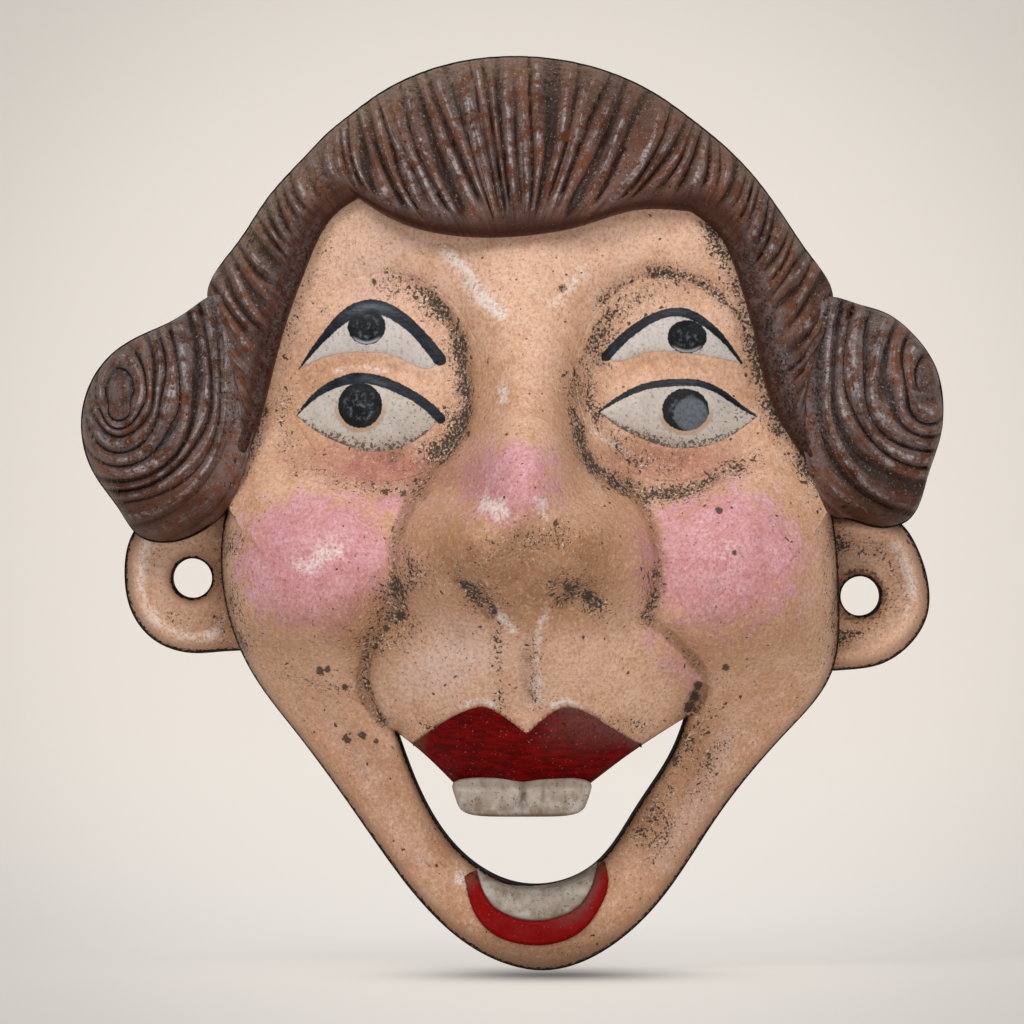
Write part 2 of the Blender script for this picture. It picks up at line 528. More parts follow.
def lash_mark(x, z, names):
    """How far inside the nearest lash line a point is, in millimetres of paint."""
    mark = np.full(x.shape, -9.0)
    sheen = np.zeros(x.shape)
    for name in names:
        eye = EYES[name]
        away, share = reach(x, z, eye["lash"], 60)
        brush = np.interp(share, np.linspace(0, 1, len(eye["brush"])), eye["brush"])
        mark = np.maximum(mark, brush - away)
        gleam = 1.0 if name == "upper_eye_left" else 0.25
        sheen = np.maximum(sheen, gleam * np.exp(-(away / 0.35) ** 2) * np.exp(-((share - 0.52) / 0.12) ** 2))
    return mark, sheen


# ------------------------------------------------------------------ face

# Millimetres from an under layer to the layer over it, where two backs would meet.
TUCK = 0.2
# Columns along the stretches of the face's outline, the share of bare iron on the rows of
# a wall, their height as a share of the wall's, and the thickness of thin enamel pieces.
COUNTS = (58, 60, 190, 60, 58)
WALL_IRON = np.array([0.25, 0.30, 0.42, 0.75])
WALL_STEPS = np.array([0.96, 0.66, 0.33, 0.06])[:, None]
LENS_THICK = 0.9


def wall(line, top, foot, steps=WALL_STEPS):
    """Rows of a wall over a line of points, from the depth of its top down to its foot."""
    return line[0] + 0 * steps, foot + (top - foot) * steps, line[1] + 0 * steps


def stacked(*parts):
    """The three grids of x, depth and z that some parts make, one under the other."""
    return [np.concatenate(grid) for grid in zip(*parts)]


def clad(marks, front, walls, rest, bare):
    """Marks for the rows that follow the front: wall rows repeat the front's last row and
    bare iron grows towards the back; the rest is bare and marked as back."""
    out = {}
    across = front.shape[1]
    for key, value in marks.items():
        out[key] = np.concatenate([value, np.repeat(value[-1:], walls, 0), np.zeros((rest, across))])
    if "edge" in out:
        out["edge"][len(front):len(front) + walls] *= 0.4
    iron = np.interp(np.linspace(0, 1, walls), np.linspace(0, 1, len(WALL_IRON)), WALL_IRON)
    iron = iron[:, None] * np.ones((walls, across))
    out["iron"] = np.concatenate([bare, iron, np.ones((rest, across))])
    out["back"] = np.concatenate([np.zeros((len(front) + walls, across)), np.ones((rest, across))])
    return out


def make_skin(finish):
    """A ring of skin between the open mouth and the outline of the face.  Front rows run
    outward at the depth of the skin, less a quarter round at its edge and 3 mm where it
    hides under the hair; walls drop to the back, back rows return."""
    outer = split(OUTLINE, [(-31.5, -7.6), (-28.2, 23.6), (26.3, 23.1), (34.2, -8.5)], COUNTS)
    inner = np.concatenate([
        run(MOUTH_BOWL, COUNTS[0], 0.5, 0.0), run(MOUTH_LEFT[::-1], COUNTS[1]),
        run(MOUTH_ROOT[::-1], COUNTS[2]), run(MOUTH_RIGHT[::-1], COUNTS[3]),
        run(MOUTH_BOWL, COUNTS[4], 1.0, 0.5)])
    hidden = ease(outer[:, 1], 8.4, 10.4)
    outer = sideways(outer, 1.6 * hidden)
    round_out = 3.4 - 3.0 * hidden
    x, z, near, far = rows_between(inner, outer, 172, 1.8, round_out)
    depth = body_depth(x, z) - quarter(far, round_out)
    depth = depth - 3.0 * hidden * ease(1.75 - far, 0.0, 0.7) * ease(np.abs(x), 21.5, 25.0)
    for middle in PADS.values():
        away = np.hypot((x - middle[0]) / PAD_RADII[0], (z - middle[1]) / PAD_RADII[1])
        depth = depth - 1.6 * ease(0.985 - away, 0.0, 0.06)
    lips = inside(x, z, UPPER_EDGE) | inside(x, z, LOWER_EDGE)
    depth = depth - 0.35 * lips
    marks = skin_marks(x, z)
    marks["edge"] = np.clip(np.maximum(1 - far / 1.8 - hidden, 1 - near / 1.2), 0, 1)
    back_x, back_z, back_near, _ = rows_between(outer, inner, 34, 0.6, 0.6, 4)
    back = hollow_depth(back_x, back_z)
    back = np.minimum(back, np.maximum(body_depth(back_x, back_z) - 3.0, 0))
    back = back + TUCK * hidden * ease(2.0 - back_near, 0.0, 0.3)
    grids = stacked((x, depth, z), wall(outer.T, depth[-1], back[0]), (back_x, back, back_z),
                    wall(inner.T, depth[0], back[-1], WALL_STEPS[::-1]))
    extra = len(grids[0]) - len(x)
    marks = clad(marks, x, 4, extra - 4, np.zeros(x.shape))
    marks["back"][-4:] = 0
    return weave("face_skin", *grids, "face_shell", "skin", finish, poles=False, **marks)


def polar(line, rows, rim=0.25, steps=5):
    """Rows of points from the middle of a loop out to it, crowding at a rounded rim."""
    middle = np.broadcast_to(line.mean(0), line.shape)
    return rows_between(middle, line, rows, 0.001, rim, steps)


def make_pad(side, finish):
    """An oval of skin that carries the two eyes of a side, a hair's breadth proud, with
    a rounded rim and a bed sunk under each eye; rows run out from its middle."""
    turn = np.linspace(0, math.tau, 260, endpoint=False)
    middle = PADS[side]
    line = np.stack([middle[0] + PAD_RADII[0] * np.cos(turn), middle[1] + PAD_RADII[1] * np.sin(turn)], -1)
    x, z, _, far = polar(line, 86)
    depth = skin_depth(x, z) + 0.04 - quarter(far, 0.25)
    names = [name for name in EYES if name.endswith(side)]
    hollow = np.zeros(x.shape, bool)
    for name in names:
        edge = eye_edge(name)
        hollow |= inside(x, z, edge) & (reach(x, z, edge, 0)[0] > 0.3)
    marks = skin_marks(x, z)
    depth = depth - 0.5 * hollow
    marks["lash"], marks["sheen"] = lash_mark(x, z, names)
    away = np.hypot((x - middle[0]) / (PAD_RADII[0] - 1.2), (z - middle[1]) / (PAD_RADII[1] - 1.2))
    ring = ease(away, 0.60, 0.98) * (1 - ease(away, 1.02, 1.10))
    inner_side = ease((middle[0] - x) * np.sign(middle[0]), -3.0, 7.0)
    marks["grime"] = np.maximum(marks["grime"], ring * (0.16 + 0.64 * inner_side))
    back = (depth[::6] - 1.6)[::-1]
    grids = stacked((x, depth, z), (x[::6][::-1], back, z[::6][::-1]))
    marks = {key: np.concatenate([value, value[::6][::-1]]) for key, value in marks.items()}
    return weave("eyelids_" + side, *grids, "eye_pad_" + side, "skin", finish, **marks)


def eye_edge(name):
    """The closed outline of an eye: along the lash line and back along the lower edge."""
    over = smooth(EYES[name]["lash"], 50)
    under = smooth(EYES[name]["under"], 50)
    return np.concatenate([over[:-1], under[::-1]])


def lens(over, under, across, round_in, round_out):
    """Columns between two edges that meet at both ends, as rows of a closed section."""
    x, z, near, far = rows_between(over, under, across, round_in, round_out, 4)
    return x.T, z.T, near.T, far.T


def make_eye(name, finish):
    """An almond of enamel between the lash line and the lower edge, swelling towards its
    middle as sin(across) * sin(along)."""
    eye = EYES[name]
    over = smooth(eye["lash"], 150)
    under = smooth(eye["under"], 150)
    x, z, near, far = lens(over, under, 46, 0.0, 0.0)
    share = near / np.maximum(near + far, 1e-6)
    along = np.linspace(0, 1, 150)[:, None]
    belly = np.sin(math.pi * share) ** 0.7 * np.sin(math.pi * along) ** 0.5
    depth = skin_depth(x, z) + 0.08 + 0.34 * belly
    lash, sheen = lash_mark(x, z, [name])
    middle, radii = eye["pupil"]
    pupil = (1 - np.hypot((x - middle[0]) / radii[0], (z - middle[1]) / radii[1])) * min(radii)
    marks = {"lash": lash, "sheen": sheen, "pupil": pupil,
             "grime": np.maximum(ease(share, 0.72, 1.0), 0.5 * ease(along, 0.6, 1.0) + 0 * share),
             "climb": (z - middle[1]) / radii[1],
             "row": np.full(x.shape, 1.0 if name.startswith("upper") else 0.0),
             "veil": (name == "lower_eye_right") * ease(-np.hypot(x - 18.2, z - 19.2), -2.0, -1.75)}
    rear = slice(None, None, -6)
    grids = [np.concatenate([front, back], 1) for front, back in
             ((x, x[:, rear]), (depth, depth[:, rear] - LENS_THICK), (z, z[:, rear]))]
    marks = {key: np.concatenate([value, value[:, rear]], 1) for key, value in marks.items()}
    return weave("glance_" + name, *grids, name, "eye_white", finish, **marks)


# ------------------------------------------------------------------ mouth

CUPID = [[(-12.6, -17.3), (-9.8, -15.2), (-6.4, -13.4), (-4.6, -13.1), (-3.4, -13.6), (0.0, -16.1)],
         [(0.0, -16.1), (2.6, -13.9), (3.9, -13.2), (5.6, -13.3), (9.0, -15.2), (12.8, -17.4)]]
LIP_BELOW = [[(-12.6, -17.3), (-11.2, -18.5), (-9.6, -19.9), (-7.9, -21.8)], [(-7.9, -21.8), (6.9, -21.8)],
             [(6.9, -21.8), (9.0, -20.0), (11.2, -18.5), (12.8, -17.4)]]
LIP_OVER_LINE = np.concatenate([run(CUPID[0], 110), run(CUPID[1], 110), [CUPID[1][-1]]])
LIP_UNDER_LINE = np.concatenate([run(points, count) for points, count in zip(LIP_BELOW, (62, 96, 62))]
                                + [[CUPID[1][-1]]])
UPPER_EDGE = np.concatenate([LIP_OVER_LINE, LIP_UNDER_LINE[::-1]])
SMILE = [(-6.9, -31.9), (-6.5, -34.0), (-5.6, -36.4), (-3.6, -38.5), (-1.0, -39.5), (2.6, -39.6), (6.0, -38.2),
         (8.2, -35.4), (9.1, -32.6), (8.7, -30.4)]
GUM = [(-5.5, -31.3), (-4.9, -33.6), (-3.8, -35.3), (-1.8, -36.5), (0.6, -37.0), (3.2, -36.7), (5.6, -35.6),
       (7.2, -33.4), (7.9, -30.6)]
MOUTH_LOW = [(-5.5, -31.3), (-3.4, -32.6), (-0.2, -33.2), (3.8, -32.7), (6.0, -31.8), (7.9, -30.6)]
LOWER_EDGE = np.concatenate([smooth(SMILE, 80), [(7.2, -31.3), (-0.2, -33.2), (-6.9, -30.6)]])


def strip(name, over, under, across, proud, node, slot, finish, rim=0.35):
    """A thin tongue of enamel between two edges, proud of the skin, with rounded sides;
    its ends close on a point."""
    x, z, near, far = lens(over, under, across, rim, rim)
    edge = np.minimum(near, far)
    depth = body_depth(x, z) + proud - np.minimum(quarter(edge, rim), proud + 0.25)
    rear = slice(None, None, -5)
    grids = [np.concatenate([front, back], 1) for front, back in
             ((x, x[:, rear]), (depth, depth[:, rear] - LENS_THICK), (z, z[:, rear]))]
    share = near / np.maximum(near + far, 1e-6)
    along = np.linspace(0, 1, len(x))[:, None] + 0 * share
    marks = {"share": share, "along": along, "low": np.full(x.shape, float(node == "lower_lip"))}
    marks = {key: np.concatenate([value, value[:, rear]], 1) for key, value in marks.items()}
    return weave(name, *grids, node, slot, finish, **marks)


def make_tab(finish):
    """The two upper teeth: a slab with rounded corners and front, grooved down its
    middle.  Rows run from the middle of its front round the rim to its back."""
    turn = np.linspace(0, math.tau, 200, endpoint=False)
    power = 0.42                 # squareness of the corners: lower is squarer
    wide, high = 7.4, 2.2        # half sizes
    front, rear_wall, edge_round = 18.6, 13.6, 0.7
    line = np.stack([wide * np.sign(np.cos(turn)) * np.abs(np.cos(turn)) ** power,
                     high * np.sign(np.sin(turn)) * np.abs(np.sin(turn)) ** power], -1)
    line[:, 0] = line[:, 0] * (1.0 + 0.045 * line[:, 1])
    line = line + (-0.5, -23.1)
    x, z, _, far = polar(line, 56, edge_round, 8)
    depth = front - quarter(far, edge_round) - 0.55 * np.exp(-((x + 0.3) / 0.28) ** 2) * ease(far, 0, 0.8)
    depth = depth - 0.4 * ease(-z, 22.5, 25.3)
    back = np.full(x[::4].shape, rear_wall)
    grids = stacked((x, depth, z), (x[::4][::-1], back, z[::4][::-1]))
    share = np.clip((-21.8 - grids[2]) / 3.5, 0, 1)
    return weave("tooth_tab", *grids, "upper_teeth", "tooth", finish, share=share,
                 parting=np.exp(-((grids[0] + 0.3) / 0.22) ** 2))


# ------------------------------------------------------------------ hair

# Ends of the combed strands, left to right: (outer, inner).
STRANDS = [((-33.8, 6.4), (-33.8, 6.4)), ((-32.4, 13.0), (-33.0, 9.4)), ((-31.9, 19.5), (-31.4, 13.6)),
           ((-33.0, 26.4), (-29.6, 18.2)), ((-35.6, 32.9), (-28.0, 24.4)), ((-32.2, 38.6), (-26.4, 30.0)),
           ((-29.0, 43.4), (-24.2, 36.0)), ((-24.3, 48.6), (-21.0, 41.6)),
           ((-22.4, 50.6), (-18.6, 43.2)), ((-20.0, 52.6), (-14.8, 40.8)),
           ((-16.5, 55.2), (-7.6, 38.9)), ((-9.6, 58.3), (-3.4, 38.7)), ((-1.4, 59.4), (-1.2, 38.8)),
           ((6.3, 58.5), (0.8, 39.0)), ((14.4, 55.2), (6.0, 40.0)), ((18.6, 52.2), (12.0, 41.8)),
           ((21.8, 49.6), (18.2, 41.7)), ((25.0, 46.4), (20.9, 39.6)), ((28.4, 41.9), (23.7, 33.6)),
           ((31.6, 37.2), (25.4, 27.5)),
           ((34.2, 32.5), (26.8, 21.4)), ((31.7, 26.4), (29.0, 17.0)), ((31.2, 17.5), (31.4, 13.4)),
           ((33.9, 8.1), (33.9, 8.1))]
# Where the crown meets each roll: up the seam, and the notch it ends in.
SEAMS = {"left": ((6.4, 13.0, 19.5, 26.4, 32.9), (33.8, 32.4, 31.9, 33.0, 35.6)),
         "right": ((8.1, 17.5, 26.4, 32.5), (33.9, 31.2, 31.7, 34.2))}
NOTCHES = ((-36.4, 31.8), (34.8, 32.0))


def closing(x, z):
    """0 in the notch where crown and roll meet, 1 a few millimetres away."""
    return np.minimum(*(ease(np.hypot(x - a, z - b), 0.3, 5.0) for a, b in NOTCHES))


def past_seam(x, z):
    """How far a point lies outside the seam between crown and roll, in millimetres."""
    seam = [np.where(z > ups[-1], 99.0, np.interp(z, ups, outs)) for ups, outs in SEAMS.values()]
    return np.abs(x) - np.where(x < 0, seam[0], seam[1])


def ellipsoid(x, z, middle, half, height):
    """height * sqrt(1 - the squares of the distances across and up, in half sizes)."""
    inside_it = 1 - ((x - middle[0]) / half[0]) ** 2 - ((z - middle[1]) / half[1]) ** 2
    return height * np.sqrt(np.maximum(inside_it, 0.0))


def hair_depth(x, z):
    """Half ellipsoids of the crown and the two rolls, joined without a crease: the eighth
    root of the sum of their eighth powers."""
    crown = ellipsoid(x, z, (-0.5, 13.5), (40.5, 47.5), 25.0)
    total = crown**8
    for sign in (-1, 1):
        total = total + ellipsoid(x, z, (sign * 40.0, 18.2), (11.4, 15.9), 18.0) ** 8
    return total**0.125


# How a strand wanders: (size in strands, waves per strand, waves along it).
WANDERS = ((0.55, 0.37, 1.4), (0.26, 1.13, -2.2), (0.13, 2.51, 3.4), (0.5, 0.19, -1.0))


def locks(strand, along, seed):
    """Combed ridges: |sin| of the strand number, which wanders a little along its length
    so that ridges part and join; some are weaker, and each has three finer ones on top."""
    rng = np.random.default_rng(seed)
    drift = sum(size * np.sin(strand * rate + along * twist + rng.uniform(0, 6))
                for size, rate, twist in WANDERS)
    line = strand + drift
    ridge = np.abs(np.sin(math.pi * line)) ** 1.25
    weak = 0.72 + 0.28 * np.sin(2.1 * np.floor(line) ** 1.3)
    fine = np.abs(np.sin(math.pi * (3.0 * line + 0.3 * np.sin(5.0 * along)))) ** 0.8
    return 1 - weak * (1 - ridge), 1 - weak * (1 - ridge) - 0.14 * (1 - fine), line


def make_crown(finish):
    """Combed-back hair: columns run from the hairline to the silhouette along the
    strands, on half an ellipsoid, with a round front edge and ridges."""
    columns, rows = 700, 92
    ends = np.array(STRANDS)
    run_outer = smooth(ends[:, 0], 3000)
    run_inner = smooth_corner(ends[:, 1], 3000)
    outer_at = [np.argmin(np.hypot(*(run_outer - p).T)) for p in ends[:, 0]]
    inner_at = [np.argmin(np.hypot(*(run_inner - p).T)) for p in ends[:, 1]]
    whole = np.arange(3000)
    pace = np.cumsum(np.concatenate([[0], np.maximum(np.diff(outer_at), np.diff(inner_at))]))
    at = np.linspace(0, pace[-1], columns)
    outer_i = np.interp(at, pace, outer_at)
    inner_i = np.interp(at, pace, inner_at)
    outer = np.stack([np.interp(outer_i, whole, run_outer[:, k]) for k in (0, 1)], -1)
    inner = np.stack([np.interp(inner_i, whole, run_inner[:, k]) for k in (0, 1)], -1)
    length = np.maximum(np.hypot(*(outer - inner).T), 0.05)
    third = length / 3
    x, z, near, far = rows_between(inner, outer, rows, np.minimum(1.5, third), np.minimum(2.2, third), 9)
    share = near / length
    bow = 0.085 * length * np.sin(math.pi * share)
    side = np.interp(np.linspace(0, 1, columns), (0, 0.3, 0.5, 0.7, 1), (0.6, 1.25, 0, -1.25, -0.6))
    step = (outer - inner) / length[:, None]
    x = x - bow * side * step[:, 1]
    z = z + bow * side * step[:, 0]
    strand = np.interp(np.arange(columns), (0, columns - 1), (0, 74)) + 0 * x
    ridge, relief, line = locks(strand, share, 5)
    base = hair_depth(x, z)
    open_edge = np.interp(np.arange(columns) / columns, (0.17, 0.2, 0.8, 0.83), (0.15, 1, 1, 0.15))
    open_edge = open_edge * (0.15 + 0.85 * closing(x, z))
    edge = quarter(near, 1.7) * 1.2 + quarter(far, 2.2) * open_edge
    start = 1.0 + 1.3 * np.abs(np.sin(strand * 2.3)) + 0.9 * np.sin(strand * 0.9) ** 2
    fade = ease(near, start, start + 2.2) * np.minimum(1, length / 8)
    fade = fade * (1 - 0.40 * np.exp(-(far / 1.5) ** 2) * open_edge)
    temple = temple_mark(x, z)
    fade = fade * (1 - 0.7 * temple) * (0.6 + 0.4 * ease(-past_seam(x, z), 0.0, 1.6))
    depth = base - edge + fade * (relief - 0.75) + 0.10 * temple * waver(x, z, 21, 1.3)
    depth[0] = np.minimum(body_depth(inner[:, 0], inner[:, 1]) - 0.6, depth[0])
    back_x, back_z = x[::-4], z[::-4]
    back = np.minimum(hollow_depth(back_x, back_z), np.maximum(depth[::-4] - 3, 0))
    grids = stacked((x, depth, z), wall((x[-1], z[-1]), depth[-1], back[0]), (back_x, back, back_z),
                    wall((x[0], z[0]), depth[0], back[-1], WALL_STEPS[::-1]))
    grids = [grid.T for grid in grids]
    extra = grids[0].shape[1] - rows
    marks = {"ridge": ridge * fade + (1 - fade) * 0.6, "strand": line, "along": near,
             "worn": np.exp(-(far / 3.4) ** 1.5) * open_edge * (0.45 + 0.75 * ease(-x, -14.0, 6.0)),
             "band": 1 - ease(near, 0.9, 3.8),
             "temple": np.maximum(temple, 0.34 * ease(-x, -10.0, 4.0))}
    marks = clad(marks, x, 4, extra - 4, open_edge * ease(-far, -0.30, -0.16))
    marks = {key: value.T for key, value in marks.items()}
    return weave("combed_hair", *grids, "hair_crown", "hair", finish, **marks)


def smooth_corner(points, count):
    """A smooth curve that keeps its corners at the two points of the hairline."""
    points = np.array(points)
    first = int(np.argmin(np.hypot(*(points - (-18.6, 43.2)).T)))
    last = int(np.argmin(np.hypot(*(points - (18.2, 41.7)).T)))
    line = np.concatenate([smooth(points[:first + 1], 1000)[:-1], smooth(points[first:last + 1], 1000)[:-1],
                           smooth(points[last:], 1000)])
    step = np.concatenate([[0], np.cumsum(np.hypot(*np.diff(line, axis=0).T))])
    even = np.linspace(0, step[-1], count)
    return np.stack([np.interp(even, step, line[:, 0]), np.interp(even, step, line[:, 1])], -1)


def temple_mark(x, z):
    """Greyer, dustier hair beside the face."""
    left = trace(x, z, [(-33.0, 8.0), (-29.6, 18.0), (-27.0, 29.0), (-23.4, 39.0)], 2.6)
    right = trace(x, z, [(33.0, 9.0), (29.6, 17.0), (27.0, 27.0), (23.6, 37.0)], 2.2)
    return np.maximum(left, right)


ROLLS = {
    "left": [(-33.6, 8.3), (-31.4, 12.6), (-30.0, 19.5), (-31.0, 27.0), (-34.4, 32.6), (-38.4, 30.3),
             (-42.4, 28.3), (-45.7, 26.4), (-48.3, 23.4), (-49.7, 18.4), (-48.3, 12.8), (-45.2, 8.4),
             (-43.2, 5.7), (-39.6, 5.0), (-36.2, 6.2), (-33.6, 8.3)],
    "right": [(33.0, 8.6), (36.2, 7.4), (39.4, 6.6), (42.4, 7.4), (44.6, 12.4), (46.0, 16.8), (46.3, 20.8),
              (45.4, 24.8), (43.3, 27.9), (40.0, 30.6), (36.6, 31.7), (33.6, 32.3), (31.0, 26.0), (30.0, 19.5),
              (31.4, 12.6), (33.0, 8.6)],
}
CURL_EYES = {"left": (-45.2, 20.0), "right": (44.6, 21.6)}


def make_roll(side, finish):
    """A roll of hair: rows run from an eye near its outer side to its outline, on half an
    ellipsoid or just above the skin, and ridges go round the eye on lopsided ovals."""
    sign = {"left": -1.0, "right": 1.0}[side]
    line = smooth(ROLLS[side], 401)[:-1]
    eye = np.array(CURL_EYES[side])
    x, z, _, far = rows_between(np.broadcast_to(eye, line.shape), line, 150, 0.001, 2.2, 9)
    outward = (x - eye[0]) * sign
    upward = z - eye[1]
    spread_out = np.hypot(np.where(outward > 0, outward * 1.2, -outward),
                          np.where(upward > 0, upward / 1.9, -upward / 1.02))
    angle = np.arctan2(upward, -outward)
    pitch = 1.34 if sign < 0 else 1.62
    ridge, relief, line_number = locks(spread_out / pitch + 0.35, 0.8 * np.sin(angle), 11 if sign < 0 else 12)
    outside = past_seam(x, z)
    exposed = ease(outside, 0.0, 2.4) * (0.15 + 0.85 * closing(x, z))
    fade = (0.4 + 0.6 * ease(far, 0.0, 1.6)) * ease(spread_out, 0.4, 2.2)
    fade = fade * (0.6 + 0.4 * ease(outside, 0.0, 1.6))
    base = np.maximum(hair_depth(x, z), skin_depth(x, z) + 0.5 * ease(z, 7.0, 10.0) - 0.1)
    depth = base - quarter(far, 2.2) * exposed + fade * 0.80 * (relief - 0.72) - 0.7 * ease(-outside, 0.1, 1.4)
    back_x, back_z = x[::-8], z[::-8]
    under = np.maximum(ease(-past_seam(back_x, back_z), -0.8, 0.2), ease(-np.abs(back_x), -36.5, -34.5))
    under = np.maximum(under, ease(-back_z, -11.5, -10.0))
    grids = stacked((x, depth, z), wall((x[-1], z[-1]), depth[-1], 0.0), (back_x, TUCK * under, back_z))
    extra = len(grids[0]) - len(x)
    marks = {"ridge": ridge * fade + (1 - fade) * 0.6, "strand": line_number + 90, "along": angle * 8.0,
             "worn": 0.35 * np.exp(-(far / 3.0) ** 2) * exposed, "band": 0.6 * ease(-z, -13.0, -8.0),
             "temple": 0.10 + 0.50 * ease(z, 9.0, 18.0) + 0.12 * ease(-np.abs(x), -37.0, -33.0)}
    marks = clad(marks, x, 4, extra - 4, exposed * ease(-far, -0.30, -0.16))
    return weave("curled_hair_" + side, *grids, "hair_roll_" + side, "hair", finish, **marks)


# ------------------------------------------------------------------ ears

HOLE_RADIUS = 2.2
EARS = {
    "left": {"hole": (-37.35, 1.0),
             "line": [(-29.5, 9.6), (-34.0, 9.4), (-37.6, 9.2), (-41.6, 8.6), (-44.2, 5.8), (-45.0, 1.4),
                      (-44.2, -2.8), (-41.6, -6.0), (-37.4, -7.4), (-33.6, -7.2), (-29.5, -6.6), (-28.0, 1.4),
                      (-29.5, 9.6)]},
    "right": {"hole": (37.35, -1.0),
              "line": [(29.6, 8.4), (34.0, 8.6), (38.0, 8.4), (41.6, 7.4), (43.8, 4.4), (45.0, 0.6),
                       (45.0, -2.8), (43.0, -6.4), (39.8, -8.6), (35.6, -9.3), (29.6, -8.8), (28.4, 0.0),
                       (29.6, 8.4)]},
}


def make_ear(side, finish):
    """A lug with a screw hole: rows run from the hole to the outline, the edge carries a
    rounded bead, and the rows return along the back."""
    ear = EARS[side]
    outer = smooth(ear["line"], 361)[:-1]
    hole = np.array(ear["hole"])
    angle = np.arctan2(outer[:, 1] - hole[1], outer[:, 0] - hole[0])
    inner = hole + HOLE_RADIUS * np.stack([np.cos(angle), np.sin(angle)], -1)
    x, z, near, far = rows_between(inner, outer, 84, 0.6, 1.9)
    bead = np.exp(-((far - 1.9) / 1.3) ** 2)
    depth = 4.6 + 0.9 * bead + 0.5 * np.exp(-(near / 1.4) ** 2) - quarter(near, 0.6) - quarter(far, 1.9)
    marks = {"pale": 0.75 * ease(np.abs(x), 35.0, 41.0) + 0.25}
    marks["edge"] = np.clip(np.maximum(1 - far / 1.8, 1 - near / 1.3), 0, 1)
    dip = np.exp(-((far - 4.2) / 1.2) ** 2)
    dirt = {"left": 0.25, "right": 0.55}[side]
    by_face = ease(-(np.abs(x) - 37.0), -0.5, 4.0)
    marks["grime"] = np.clip(dirt * dip + 0.7 * by_face * dirt * 1.6, 0, 1)
    shine = {"left": [(-41.4, 6.4), (-42.9, 2.4), (-42.4, -2.2), (-39.4, -5.0), (-35.4, -5.4), (-33.6, -3.4)],
             "right": [(41.2, 4.6), (42.8, 0.6), (42.4, -3.0)]}[side]
    marks["touch"] = 0.62 * trace(x, z, shine, 0.9)
    ring = np.exp(-(near / {"left": 0.5, "right": 1.2}[side]) ** 1.5)
    marks["brown"] = np.clip(1.1 * ring + 0.7 * by_face + {"left": 0.1, "right": 0.3}[side] * dip, 0, 1)
    marks["grime"] = np.maximum(marks["grime"], {"left": 0.2, "right": 0.9}[side] * ring)
    stain = {"left": 0.35, "right": 1.0}[side] * np.exp(-(near / {"left": 0.4, "right": 1.0}[side]) ** 2)
    marks["chips"] = np.clip(stain * (0.8 + 0.5 * waver(x, z, 33, 0.8)), 0, 1)
    marks["cavity"] = 0.10 * dip + 0.2 * by_face
    steps = WALL_STEPS[[0, 1, 3]]
    grids = stacked((x, depth, z), wall(outer.T, depth[-1], 0.0, steps),
                    (x[::-6], TUCK * ease(-np.abs(x[::-6]), -36.0, -34.5), z[::-6]),
                    wall(inner.T, depth[0], 0.0, steps[::-1]))
    extra = len(grids[0]) - len(x)
    marks = clad(marks, x, 3, extra - 3, np.zeros(x.shape))
    return weave("lug_ear_" + side, *grids, "ear_" + side, "skin", finish, poles=False, **marks)


# ------------------------------------------------------------------ finishes

